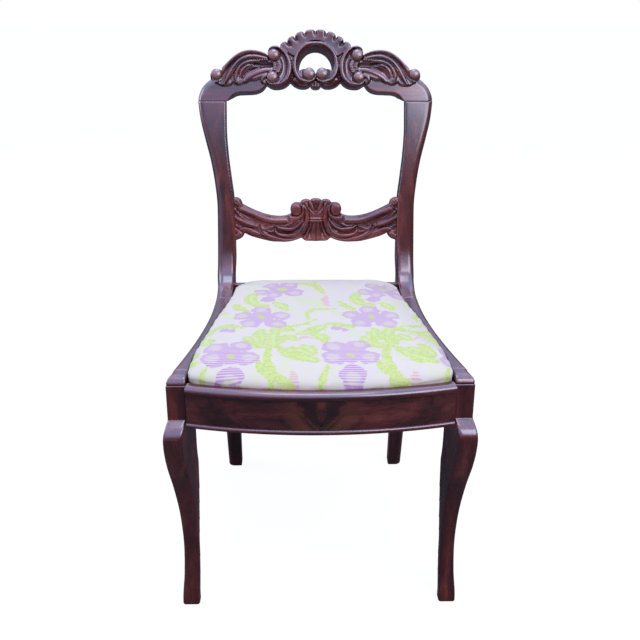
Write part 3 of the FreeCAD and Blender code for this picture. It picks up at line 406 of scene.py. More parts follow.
def crest_edge(x, t):
    """Edge distance of the crest with its bore, and the distance to the lobes that close in on the bore."""
    edge = outline(x, t, [
        [(-1, 24), (4, 24.6), (8, 27), (9.5, 30)],
        [(9.5, 30), (14, 26.6), (21, 25), (30, 26), (38, 29.5), (45.5, 36)],
        SCROLL_LOW,
        CREST_LOW,
        [(161.3, -14), (211, -14)],
        SHOULDER + [(188.5, 41)],
        [(188.5, 41), (188.4, 47.5), (185, 54), (178.5, 57.6), (171.5, 57), (167.5, 54.5)],
        [(167.5, 58.3), (160, 65.9), (150, 75.8), (140, 83.4), (129, 88.5), (115, 90.4), (100, 88.4),
         (90, 84.4), (86, 82)],
        [(86, 84), (85.5, 89), (81.5, 94.6), (75, 97.8), (68.5, 97.6), (63.5, 95)],
        [(63.5, 97), (62.5, 101), (58, 105.2), (53.5, 106), (50.8, 104)],
        [(50.8, 104), (49.6, 110), (45, 114.6), (40, 115.8), (37.2, 113.6)],
        [(37.2, 113.6), (35, 119), (29.5, 122.9), (23.8, 123.7), (20, 121.4)],
        [(20, 121.4), (16.5, 125.3), (10.5, 127.2), (4.5, 127.2), (0, 125.2)],
        [(0, 125.2), (-1, 125.2)],
        [(-1, 125.2), (-1, 24)],
    ], open_runs=(4, 13, 14))
    bore = disc(x, t, 0, 57.5, 28.4)
    lobe = np.minimum(disc(x, t, 19, 41, 16.4), disc(x, t, *RING_BUTTON, 11))
    lobe = np.minimum(lobe, np.maximum(x - 6, t - 50.5))
    bore = np.maximum(bore, -lobe)
    return np.maximum(edge, -bore), lobe


def crest_plank(x, t):
    """The plank before it is carved, with its shoulder rounded and its lower edge eased."""
    shoulder = np.clip((x - 150) / 25, 0, 1) * np.clip((52 - t) / 12, 0, 1)
    level = -eased(near(x, t, through(SHOULDER + [(186, 42)]))[0], 12) * shoulder
    return Relief(x, t, level - eased(near(x, t, through(CREST_LOW))[0], 2.4))


def carve_leaf(carving, x, t):
    """Leaf that sweeps out from the scroll to the end button; its edge distance."""
    leaf = outline(x, t, [
        [(84, 82), (90, 84.4), (100, 88.4), (115, 90.4), (129, 88.5), (140, 83.4), (150, 75.8), (160, 65.9),
         (172, 52), (181, 38)],
        [(181, 38), (176, 31.5), (170, 28), (161, 26.8), (152, 28.6), (147.5, 34)],
        [(147.5, 34), (144, 30.4), (138, 29), (132, 29.8), (127.5, 33)],
        [(127.5, 33), (123, 36.2), (116, 37.2), (108, 36.6), (99, 40.5)],
        [(99, 40.5), (98, 35), (94, 31), (86, 30)],
        [(86, 30), (76, 40), (76, 70), (84, 82)],
    ])
    carving.lift(leaf < 0, 2.6 - eased(-leaf, 2.2))
    hollow = outline(x, t, [
        [(76, 66.5), (88, 68), (103, 67.5), (113, 67.5), (124, 65), (133, 59.5), (138, 50), (138, 41)],
        [(138, 41), (131, 38.5), (127, 44), (122, 50), (112, 55), (100, 58.6), (76, 60)],
        [(76, 60), (76, 66.5)],
    ])
    carving.put(hollow < 0, carving.height - 6.5 * np.clip(-hollow / 3.0, 0, 1) ** 0.7)
    carving.rib([(100, 62), (112, 61.5), (122, 57.5), (129, 50), (132, 42)], 3.2, 3.4, -1.6)
    carving.rib([(112, 64.5), (123, 62), (131, 55), (135, 46), (134.5, 37)], 3.4, 4.0, 0.2)

    # Ribs of the upper leaf, with lines cut between them
    carving.rib([(86, 81.6), (96, 85.2), (108, 88), (121, 88), (134, 84.6), (146, 77), (157, 66.5), (166, 54),
                 (172, 43), (177, 35)], 5.6, 4.4, 2.6, 0.5)
    carving.rib([(88, 75.6), (102, 78), (115, 78.8), (127, 76), (138, 68.8), (147, 58), (154.5, 46),
                 (160, 36), (164, 30)], 5.2, 4.2, 2.6, 0.4)
    carving.rib([(100, 70.4), (112, 70.6), (124, 68), (134, 61.6), (140.5, 52), (143, 42), (141, 33)], 4.0,
                4.4, 2.2)
    carving.rib([(136, 40), (140, 36), (146, 38)], 2.6, 2.0, 1.4)
    carving.groove([(87, 78.8), (100, 82.4), (113, 83.6), (126, 81.6), (138, 75), (149, 64.6), (158, 52),
                    (165, 41), (171, 32)], 0.9, 3.0, 0.5)
    carving.groove([(104, 73.4), (117, 74), (128, 70.6), (137, 63.4), (144, 53), (149.5, 42), (153, 33)],
                   0.9, 2.6)
    carving.groove([(96, 87.4), (108, 90), (121, 90), (134, 86.6), (146, 79), (157, 68.5), (167, 55),
                    (174, 43)], 0.7, 1.2)
    carving.groove([(122, 85), (134, 80.6), (145, 72.6), (155, 61.6), (163, 49), (170, 38)], 0.7, 1.6)
    carving.groove([(128, 74), (138, 66.4), (146.4, 55.6), (153, 44), (158, 34)], 0.7, 1.6)
    for i in range(8):
        carving.button(86.5 + 4.4 * i, 72.4 - 0.035 * i * i, 1.9, 1.8, 3.6)

    # Lower leaf and the little leaf behind the bottom button
    carving.rib([(77, 55), (89, 54), (101, 50.5), (112, 46), (120, 41), (126, 35.5)], 6.4, 3.6, 1.6, 0.5)
    carving.rib([(84, 47), (93, 45.4), (103, 42.4), (113, 39.6), (121, 38)], 3.4, 2.4, 1.8)
    carving.rib([(83, 49), (91, 44), (95, 38), (93, 32.6)], 3.8, 3.2, 1.4)
    carving.groove([(80, 50.4), (92, 49.6), (103, 46), (113, 41.6)], 0.8, 1.4)
    return leaf


def carve_scroll(carving, x, t):
    """C-scroll with a cove, a ribbed strip and two buttons; its edge distance."""
    c_body = outline(x, t, [
        SCROLL_LOW,
        [(88, 31), (88.5, 40), (84, 50), (76.6, 54), (76.6, 70), (84, 74), (86.4, 84)],
        [(86.4, 84), (85.5, 89), (81.5, 94.6), (75, 97.8), (68.5, 97.6), (60, 93.5), (52, 86), (45, 76), (41.6, 66),
         (41.2, 55), (42.4, 45), (45.5, 36)],
    ])
    carving.put(c_body < 0, 3.0 - eased(-c_body, 7))
    carving.band([(80.5, 91.5), (74.5, 94.2), (66.5, 92.8), (58, 87), (51, 78), (47.3, 68), (46.6, 58),
                  (48, 48), (52, 39.6), (58, 33.4), (65.5, 30), (73, 29.6), (80, 32), (84.6, 37)], 4.5, 4.2,
                 3.4)
    cove_line = through([(69, 88), (61, 80), (56.6, 69), (56.4, 57), (59.6, 46), (66, 38)])
    cove_gap, cove_along = near(x, t, cove_line)
    cove = np.clip(1 - (cove_gap / 5.6) ** 2, 0, 1) * np.sin(np.pi * np.clip(cove_along, 0.06, 0.94)) ** 0.5
    carving.sink(cove > 0, 3.4 - 3.6 * cove)
    carving.rib([(73, 74), (66.6, 70), (64.4, 62), (66.6, 54), (72, 49)], 4.6, 3.2, 3.0, 0.7)
    carving.rib([(77, 71), (73.6, 67), (72.6, 62), (73.6, 56), (76, 52)], 3.4, 2.6, 3.0, 0.7)
    strip = (x > 61.5) & (x < 76.4) & (np.abs(t - 61.5) < 9.5)
    ripple = 0.5 + 0.5 * np.cos(2 * np.pi * (t - 61.5) / 2.7)
    carving.put(strip, carving.height - 1.5 * ripple ** 2)
    for centre, radius in ((UPPER_BUTTON, 10.4), (LOWER_BUTTON, 10.0)):
        carving.trench(disc(x, t, *centre, radius) - 0.6, 1.1, 3.4, c_body < 0)
        carving.button(*centre, radius, 4.6, 5.2)
    return c_body


def carve_ring(carving, x, t, lobe):
    """Ring with a flared mouth, and the band that curls round its two buttons; distance from its centre."""
    wide = x * 45 / 41
    ring = np.hypot(wide, t - 61.5)
    lobes = disc(x, t, 20.5, 42.4, 18.2)
    body = np.minimum(np.where(t > 45, ring - 45, 99), np.where(x < 46, lobes, 99))
    body = np.minimum(body, outline(x, t, [[(20, 25), (30, 26), (38, 29.5), (45.5, 36)],
                                           [(45.5, 36), (42, 46), (41, 60)], [(41, 60), (20, 60), (20, 25)]]))
    carving.put((body < 0) & (x < 45.5), 3.4 - eased(-body, 9) * 1.1)
    mouth = np.hypot(wide, t - 60.5)
    slope = 2.6 - np.clip((36.4 - mouth) / 4.6, 0, 1) ** 1.3 * 34
    carving.sink((mouth < 36.4) & (lobe > 1.5) & (t > 30), slope)
    carving.band([(0, 102.2), (11, 101.2), (21, 96.8), (29.6, 88.6), (35.4, 78), (37.6, 66), (37, 55),
                  (33.6, 45.6), (28, 38.6), (20.6, 35.2), (12.6, 35), (6, 38.4), (2.6, 44)], 4.2, 4.4, 2.8)
    ring_line = through([(0, 106.9), (12, 105.4), (23, 100.6), (32, 92.4), (38.4, 81), (41, 70)])
    carving.trench(near(x, t, ring_line)[0], 1.0, 4.2)
    carving.trench(disc(x, t, *RING_BUTTON, 11.5), 1.0, 3.0)
    carving.button(*RING_BUTTON, 11, 4.8, 5.0)
    carving.trench(x, 0.9, 5, t < 60)
    pendant = outline(x, t, [
        [(-1, 24), (4, 24.6), (8, 27), (9, 31), (6, 34), (-1, 36)],
        [(-1, 36), (-1, 24)],
    ], open_runs=(1,))
    carving.put(pendant < 0, 1.6 + 1.8 * np.cos(np.clip(x, 0, 9) * np.pi / 4.6) * (x < 9))
    return ring


def carve_shell(carving, x, t, edge, over):
    """Fan of four barrel-shaped lobes a side over the ring, with a line of pits between each two."""
    angle = np.degrees(np.arctan2(x, t - 57))
    reach = np.hypot(x, t - 57)
    joints = np.array([0, 17.2, 33.4, 47.2, 60.5])
    cell = np.clip(np.searchsorted(joints, angle, side="right") - 1, 0, 3)
    share = (angle - joints[cell]) / (joints[cell + 1] - joints[cell])
    barrel = np.sqrt(np.clip(1 - (2 * share - 1) ** 2, 0, 1))
    rise = np.clip((reach - 46) / 20, 0, 1)
    lobe_height = 3.2 + 1.3 * barrel * rise ** 2 - eased(-edge, 3.2)
    carving.put(over & (t > 80) & (angle < joints[-1]), lobe_height)
    for joint in joints[:4]:
        spot = math.radians(joint)
        dx, dy = math.sin(spot), math.cos(spot)
        for away, size in ((67.6, 2.2), (65.2, 2.4), (62.6, 1.9), (60.4, 1.2)):
            carving.pit(away * dx, 57 + away * dy, size, 3.8)


def crest_heights(x, t):
    """Front height and edge distance of the crest, over x across and t up the slope."""
    x = np.abs(x)
    edge, lobe = crest_edge(x, t)
    carving = crest_plank(x, t)
    leaf = carve_leaf(carving, x, t)
    c_body = carve_scroll(carving, x, t)
    ring = carve_ring(carving, x, t, lobe)
    carve_shell(carving, x, t, edge, (ring > 45.6) & (c_body > 0.4))
    carving.trench(disc(x, t, *END_BUTTON, 10.2), 1.1, 3.2, leaf < 6)
    carving.button(*END_BUTTON, 9.8, 4.4, 4.6)
    return blurred(carving.height), edge


# Cross splat
def splat_edge(x, t):
    """Edge distance of the cross splat."""
    return outline(x, t, [
        [(-1, 0), (10, 0.4), (20, 1.2), (27, 5.6)],
        [(27, 5.6), (35, 2.2), (46, -0.4), (60, -1.6), (80, -1), (100, 3.4), (118, 8.6), (131, 14.6)],
        [(131, 14.6), (133, 9), (139, 4), (146, 1.4), (151, -1)],
        [(151, -1), (151, 80)],
        [(151, 80), (143, 79), (137, 75), (134, 67.4)],
        [(134, 67.4), (120, 60), (103, 52.6), (86, 47.4), (70, 45.2), (58, 45.6), (49, 48)],
        [(49, 48), (45.6, 51), (46.8, 58), (44.6, 65.4), (38.6, 69.8), (33, 70), (28.6, 69.6)],
        [(28.6, 69.6), (25, 74), (19, 75.8), (13.6, 75.2), (10.4, 73.4)],
        [(10.4, 73.4), (7.6, 76), (3.6, 77), (-1, 77.2)],
        [(-1, 77.2), (-1, 0)],
    ], open_runs=(3, 9))


def carve_splat_leaves(carving):
    """Long leaves that sweep out from the scroll over a sunk ground, with bars above and beside them."""
    carving.rib([(20, 30), (24, 20), (31, 11), (42, 5), (56, 2.6), (70, 4.6), (84, 8), (95, 14), (103, 22),
                 (107, 31)], 5.6, 5.4, -1.2, 0.25)
    carving.rib([(22, 34), (25.6, 25), (32, 17.6), (42, 12), (54, 9.8), (64, 11), (72, 15), (76, 22)], 4.6,
                5.6, -0.6, 0.3)
    carving.rib([(27, 36), (31.6, 30), (38, 25), (46, 22), (56, 22.4), (66, 24), (74, 29)], 3.8, 5.0, -0.8,
                0.3)
    carving.rib([(33, 39), (42, 35.6), (50, 30.6), (58, 28.2), (68, 29.4)], 3.2, 4.2, -0.6, 0.3)
    carving.rib([(78, 27), (86, 24), (93, 21), (98, 23), (101, 30)], 4.2, 3.4, -1.0, 0.4)
    carving.rib([(80, 17), (90, 19), (97, 26)], 3.4, 2.8, -0.6, 0.4)
    carving.groove([(28, 24), (38, 16.6), (50, 14.6), (62, 16.4), (72, 22)], 1.3, 3.4)
    carving.groove([(26, 12), (37, 6.6), (52, 5.4), (66, 8), (80, 12.4), (93, 19)], 1.3, 3.2)
    carving.groove([(75, 29), (77, 24), (76, 18)], 1.2, 3.0)
    carving.groove([(97, 33), (103, 28), (101, 19), (93, 11)], 1.3, 3.0)
    carving.band([(44, 37.6), (56, 37.4), (70, 37), (84, 38.4), (97, 42.2), (110, 47.6), (124, 53.6),
                  (138, 59.4)], 5.4, 5.6, -1.2)
    carving.rib([(108, 27.4), (120, 30.6), (132, 35), (143, 41.4), (151, 47)], 4.8, 4.6, -1.2, 0.5)
    carving.rib([(104, 13), (116, 17), (126, 21.4), (135, 21), (142, 16)], 5.6, 3.4, -1.0, 0.5)
    carving.rib([(112, 34), (126, 40), (138, 48), (148, 58)], 3.4, 2.4, -1.0, 0.5)
    carving.groove([(48, 44.8), (70, 43.4), (88, 45.4), (106, 51.4), (124, 59.4), (134, 64)], 1.2, 1.4)
    carving.groove([(106, 34), (118, 37.6), (130, 43.6), (141, 52.6)], 1.2, 2.6)
    carving.groove([(110, 22.4), (122, 25.8), (134, 28), (146, 31)], 1.2, 2.6)


def carve_splat_stem(carving, x, t):
    """S-shaped stem and the button it curls round."""
    carving.band([(40, 44), (32, 44.6), (25.6, 49), (23.4, 57), (27, 65)], 3.6, 4.6, 0.4)
    carving.band([(27, 66), (20.4, 60), (17.2, 50), (16.4, 39), (18, 28), (22.6, 18)], 4.2, 4.0, -0.2)
    carving.band([(34, 42.6), (41, 41.4), (46, 42.6)], 4.6, 4.8, 0.6)
    carving.groove([(21.4, 62), (20.6, 50), (22, 38), (27, 27)], 1.1, 2.2)
    carving.groove([(24, 41), (35, 38), (46, 33.6)], 1.2, 2.2)
    carving.groove([(48.6, 47), (49.8, 41), (47.6, 34.6)], 1.2, 3.4)
    carving.trench(np.hypot(x - 36.4, (t - 58) * 0.94) - 10.6, 1.1, 3.2)
    square = ((np.abs(x - 36.4) / 9.4) ** 2.6 + (np.abs(t - 58) / 10.4) ** 2.6) ** (1 / 2.6)
    carving.lift(square < 1, 4.4 + 3.4 * np.clip(1 - square ** 2, 0, 1) ** 0.4)


def carve_splat_shell(carving, x, t):
    """Shell of the centre: lobes above, a double bar, a fan of flutes below."""
    core = outline(x, t, [
        [(-1, 80), (13, 78), (22, 77), (28, 70)],
        [(28, 70), (20.6, 66), (15, 57), (12.4, 46)],
        [(12.4, 46), (12, 36), (14.6, 25), (19.6, 14), (26, 5.6)],
        [(26, 5.6), (14, -6), (-1, -6)],
        [(-1, -6), (-1, 80)],
    ], open_runs=(4,))
    lobes = 1.8 + 2.6 * np.sqrt(np.clip(1 - ((t - 60) / 21) ** 2, 0, 1)) - 0.9 * np.cos(x * np.pi / 4.9)
    flutes = 1.2 + 2.4 * np.abs(np.cos(np.arctan2(x, t + 34) * 7.4)) ** 0.7 + 0.9 * np.clip(1 - t / 9, 0, 1)
    carving.put(core < 0, np.where(t > 40, lobes, flutes) - 0.8 * eased(-core, 1.6))
    for level, rise in ((41.6, 3.4), (37.3, 3.2)):
        gap, _ = near(x, t, np.array([(0, level), (13.4, level)]))
        carving.put((gap < 1.9) & (core < 1), 2.2 + rise * np.sqrt(1 - np.clip(gap / 1.9, 0, 1) ** 2))
    for points, half, depth in (
        ([(0, 57), (3, 62), (6, 70), (9.6, 74)], 1.5, 3.6),
        ([(0, 57), (0, 76)], 0.8, 1.4),
        ([(3.5, 52), (12, 62), (17, 72)], 1.0, 1.8),
        ([(0, 35), (0, 1)], 1.0, 2.2),
        ([(7, 33), (10, 20), (17, 5)], 1.5, 2.8),
    ):
        carving.trench(near(x, t, through(points))[0], half, depth, core < 1.5)
    side = through([(13.6, 72), (13, 60), (12, 48), (11.8, 40), (13.4, 28), (17.4, 17), (24, 7)])
    carving.trench(near(x, t, side)[0], 1.0, 3.4)


def carve_splat_ends(carving, x, t, edge):
    """End lobes, cut with a lattice."""
    ends = (x > 134) & ((t > 62 + (x - 134) * 0.4) | (t < 17 - (x - 134) * 0.3))
    lattice = 0.7 * (np.abs(np.sin((x + t) * 0.52)) + np.abs(np.sin((x - t) * 0.52)))
    carving.put(ends, 1.2 + lattice - eased(-edge, 5))
    carving.groove([(134, 66), (140, 60), (147, 54), (151, 50)], 1.2, 2.2)
    carving.groove([(131, 15), (138, 19), (146, 24), (151, 28)], 1.2, 2.2)


def splat_heights(x, t):
    """Front height and edge distance of the cross splat, over x across and t up its slope."""
    x = np.abs(x)
    edge = splat_edge(x, t)
    carving = Relief(x, t, -1.2)
    carve_splat_leaves(carving)
    carve_splat_stem(carving, x, t)
    carve_splat_shell(carving, x, t)
    carve_splat_ends(carving, x, t, edge)
    return blurred(carving.height - eased(-edge, 2.4)), edge


def board_field(heights, back, foot=None, cheek=None):
    """Field of a carved board: below its carved face, in front of its back and inside its outline."""
    def field(x, t, n):
        height, edge = heights(x[:, :, 0] + 0 * t[:, :, 0], t[:, :, 0] + 0 * x[:, :, 0])
        across, up = np.gradient(height, x[1, 0, 0] - x[0, 0, 0])
        steep = np.sqrt(1 + np.minimum(across ** 2 + up ** 2, 30))
        height, edge, steep = height[:, :, None], edge[:, :, None], steep[:, :, None]
        f = np.maximum(soft_max((n - height) / steep, edge, 1.2), back + eased(-edge, 4) - n)
        if foot is not None:
            f = np.maximum(f, foot(t, n))
        if cheek is not None:
            f = np.maximum(f, np.abs(x) - cheek)
        return f
    return field


def crest_foot(t, n):
    """The level joint under the crest."""
    return -(t * math.cos(RAKE) + n * math.sin(RAKE))


# Lines of the seat and back, which several pieces share
def along_line(stations, share):
    """Values on a smooth line through stations of (share, value, ...), one array for each column."""
    rows = np.array(stations, float)
    places = rows[:, 0]
    rates = np.diff(rows[:, 1:], axis=0) / np.diff(places)[:, None]
    least = np.minimum(np.abs(rates[1:]), np.abs(rates[:-1]))
    turning = rates[1:] * rates[:-1] <= 0
    gentle = np.minimum(2.5 * least, np.abs(rates[1:] + rates[:-1]) / 2)
    inner = np.where(turning, 0, np.sign(rates[1:]) * gentle)
    slopes = np.vstack([rates[:1], inner, rates[-1:]])
    cell = np.clip(np.searchsorted(places, share, side="right") - 1, 0, len(places) - 2)
    span = (places[cell + 1] - places[cell])[..., None]
    part = np.clip((share - places[cell]) / span[..., 0], 0, 1)[..., None]
    low, high = rows[cell, 1:], rows[cell + 1, 1:]
    value = (low * (2 * part ** 3 - 3 * part ** 2 + 1)
             + span * slopes[cell] * (part ** 3 - 2 * part ** 2 + part)
             + high * (3 * part ** 2 - 2 * part ** 3)
             + span * slopes[cell + 1] * (part ** 3 - part ** 2))
    return np.moveaxis(value, -1, 0)


def side_line(y):
    """Outside of the seat in plan: a long S-curve from the front post back to the rear post."""
    share = (y - LEG_FRONT) / (ARM_Y - LEG_FRONT)
    sweep = (1 - share) ** 2 * (1 + 0.35 * share)
    return WAIST_OUT - 0.5 + (LEG_OUT - WAIST_OUT + 0.5) * sweep


def seat_side(y):
    """Side of the drop-in seat in plan: inside the front posts, the rails and then the rear posts."""
    share = np.clip((y - LEG_BACK) / (SEAT_Y - LEG_BACK), 0, 1)
    late = np.clip((share - 0.44) / 0.48, 0, 1)
    pull = (side_line(ARM_Y) - WAIST_IN + 1.5 - LIP) * late * late * (3 - 2 * late)
    along = side_line(np.minimum(y, ARM_Y)) - LIP - 1 - pull
    return along - 4 * np.log(1 + np.exp((along - (LEG_IN - 3)) / 4))


def post_front(z):
    """Front face of the rear post above the seat, leaning back in a curve that meets the crest."""
    share = (z - RAIL_TOP) / (CREST_JOINT - RAIL_TOP)
    return SEAT_Y + (CREST_Y - SEAT_Y) * (0.36 * share + 0.64 * share * share)


def tilted(points, lean, y, z):
    """From a board's own plane, leaning back from a line across the chair, to the chair."""
    x, t, n = points.T
    return np.stack([x, y + t * math.sin(lean) - n * math.cos(lean),
                     z + t * math.cos(lean) + n * math.sin(lean)], 1)


def crest_to_chair(points):
    """The crest in its place on the posts."""
    return tilted(points, RAKE, CREST_Y, CREST_JOINT)


def splat_to_chair(points):
    """The splat in its place, a little behind the front faces of the posts."""
    lean = math.atan2(post_front(SPLAT_FOOT + 76) - post_front(SPLAT_FOOT), 76)
    return tilted(points, lean, post_front(SPLAT_FOOT) + 4, SPLAT_FOOT)


def bar(x, y, low_x, high_x, low_y, high_y, radii):
    """Signed distance to a rectangle with a radius for each corner, from the inner front corner round."""
    cx, cy = (low_x + high_x) / 2, (low_y + high_y) / 2
    across, deep = x - cx, y - cy
    inner_front, outer_front, outer_back, inner_back = radii
    radius = np.where(across > 0, np.where(deep > 0, outer_back, outer_front),
                      np.where(deep > 0, inner_back, inner_front))
    a = np.abs(across) - (high_x - low_x) / 2 + radius
    b = np.abs(deep) - (high_y - low_y) / 2 + radius
    return rounded_corner(a, b, radius)


def rear_post_field(x, y, z):
    """Rear leg and stile in one sweep, with the arm that reaches forward to the side rail."""
    share = (z - RAIL_TOP) / (CREST_JOINT - RAIL_TOP)
    outer = along_line([(-0.3, 181.4), (0, 183), (0.1, 181.4), (0.25, 179.8), (0.42, 179.6), (0.56, 183.4),
                        (0.68, 190), (0.8, 199.8), (0.9, 207.4), (1, 211.5), (1.1, 213)], share)[0]
    inner = along_line([(-0.3, 149.6), (0, 149.6), (0.14, 147.4), (0.25, 147.4), (0.46, 148.8), (0.58, 153.4),
                        (0.7, 158), (0.85, 161), (1, 161), (1.1, 160.6)], share)[0]
    fall = np.clip(1 - z / RAIL_FOOT, 0, 1) ** 2
    front = np.where(z > RAIL_TOP, post_front(z), SEAT_Y + SABRE * fall)
    outer = outer - 2.5 * fall
    inner = inner + 2.5 * fall
    depth = 30 - fall
    post = bar(x, y, inner, outer, front, front + depth, (1.6, 11, 6, 4))
    top = RAIL_TOP + 0.38 * (CREST_JOINT - RAIL_TOP)
    reach = post_front(top) + ARM_SINK - ARM_Y
    nose = through([(ARM_Y + reach * a, RAIL_TOP + (top - RAIL_TOP) * b) for a, b in
                    ((0, 0), (0.36, 0.03), (0.62, 0.16), (0.79, 0.4), (0.9, 0.68), (1, 1))])
    back = SEAT_Y + 12
    side = np.vstack([nose, [(ARM_Y + reach + 8, top + 6), (back, RAIL_FOOT + 40), (back, RAIL_LOW),
                             (ARM_Y, RAIL_LOW)]])
    gap = near(y, z, np.vstack([side, side[:1]]))[0]
    profile = np.where(enclosed(y, z, side), -gap, gap)
    low_x, high_x = seat_side(ARM_Y) + 1, WAIST_OUT - 0.5
    width = np.abs(x - (low_x + high_x) / 2) - (high_x - low_x) / 2
    soft = np.where(x > (low_x + high_x) / 2, 9.0, 3.0)
    arm = rounded_corner(profile + soft, width + soft, soft)
    arm = np.where(z < RAIL_TOP - 12, np.maximum(profile, width), arm)
    whole = soft_min(post, arm, 3.0)
    return np.maximum(soft_max(whole, -z, 1.5), z - CREST_JOINT)


def front_leg_field(x, y, z):
    """Square post with a cabriole leg below it: sloped knee, slim ankle and a small turned-out foot."""
    share = z / KNEE
    ahead, out, width, depth, lean, widen = along_line([
        (0, -19, -2.5, 28, 32, 0, 1), (0.04, -19.6, -2.9, 27.5, 31.5, 0, 1), (0.16, -25, -6.5, 24.5, 29, 1, 4),
        (0.31, -25, -8.5, 23, 29, 3, 5), (0.5, -17, -6.5, 25, 33, 5, 5), (0.66, -4, -1, 28, 40, 7, 6),
        (0.8, 12.65, 4.9, 29, 47, 10, 6), (0.9, 22.2, 6.5, 29, 51, 12, 6), (0.93, 23.6, 6.4, 29, 52, 12, 6),
        (0.952, 22, 5.8, 29.1, 50.6, 11.5, 4), (0.972, 17, 4.4, 29.4, 46.2, 10.4, 0),
        (0.986, 11, 2.8, 29.7, 40.4, 9.2, -4), (0.996, 5, 1.2, 30, 34.8, SPLAY, -SPLAY),
        (1.001, 2, 0.5, 30, 32, SPLAY, -SPLAY), (1.004, 0, 0, 30, 30, SPLAY, -SPLAY),
        (1.2, 0, 0, 30, 30, SPLAY, -SPLAY)], share)
    front = LEG_FRONT - ahead
    outer = LEG_OUT + out
    run = (y - front) / depth
    high_x = outer - lean * run
    low_x = outer - width - (lean + widen) * run
    rounding = np.where(z > KNEE, 1.8, 4.2) + 0 * x + 0 * y
    body = bar(x, y, low_x, high_x, front, front + depth, (rounding,) * 4)
    return np.maximum(soft_max(body, -z, 3.0), z - LEG_TOP)


def side_rail_field(x, y, z):
    """Side rail with its rebate, and the rounded nose that caps the front post."""
    outer = side_line(y)
    lip = seat_side(y) + 1
    inner = np.minimum(outer - 26, lip - 2)
    round_top = bar(x, z, inner, outer, RAIL_LOW, RAIL_TOP, (0.6, 0.6, 6.5, 2.0))
    rail = np.maximum(round_top, -np.maximum(x - lip, LEDGE - z))
    rail = np.maximum(rail, np.maximum(LEG_BACK - y, y - ARM_Y))
    run = (y - LEG_FRONT) / (LEG_BACK - LEG_FRONT)
    low_x, high_x = LEG_IN + (seat_side(LEG_BACK) + 1 - LEG_IN) * run, LEG_OUT - SPLAY * run
    plan = bar(x, y, low_x, high_x, LEG_FRONT, LEG_BACK + 6, (3, 5, 0.5, 0.5))
    roll = bar(y, z, LEG_FRONT, LEG_BACK + 40, LEG_TOP - 60, RAIL_TOP, (0.1, 0.1, 0.1, 16))
    sides = bar(x, z, low_x, high_x, LEG_TOP - 60, RAIL_TOP, (0.1, 0.1, 9, 3))
    cap = soft_max(soft_max(plan, roll, 1.5), sides, 1.5)
    cap = np.maximum(np.maximum(cap, LEG_TOP - z), y - LEG_BACK)
    return np.minimum(rail, cap)


def bow_strip(name, profile, low_x, high_x, material, node_name):
    """A profile of (out from the rail face, height), swept round the bow of the front rail."""
    turns = np.arcsin(np.linspace(low_x, high_x, BOW_STEPS + 1) / BOW_RADIUS)
    ring = np.array(profile, float)
    radius = BOW_RADIUS + ring[:, 0]
    rings = [np.stack([radius * math.sin(turn), BOW_Y - radius * math.cos(turn), ring[:, 1]], 1)
             for turn in turns]
    points = np.vstack(rings + [rings[0].mean(0), rings[-1].mean(0)])
    count = len(ring)
    last = BOW_STEPS * count
    faces = [(a, d, c, b) for a, b, c, d in ring_faces(BOW_STEPS + 1, count)]
    for k in range(count):
        after = (k + 1) % count
        faces.append((after, k, len(points) - 2))
        faces.append((last + k, last + after, len(points) - 1))
    item = make_piece(name, points, faces, material)
    item.data.set_sharp_from_angle(angle=math.radians(38))
    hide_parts(node_name)


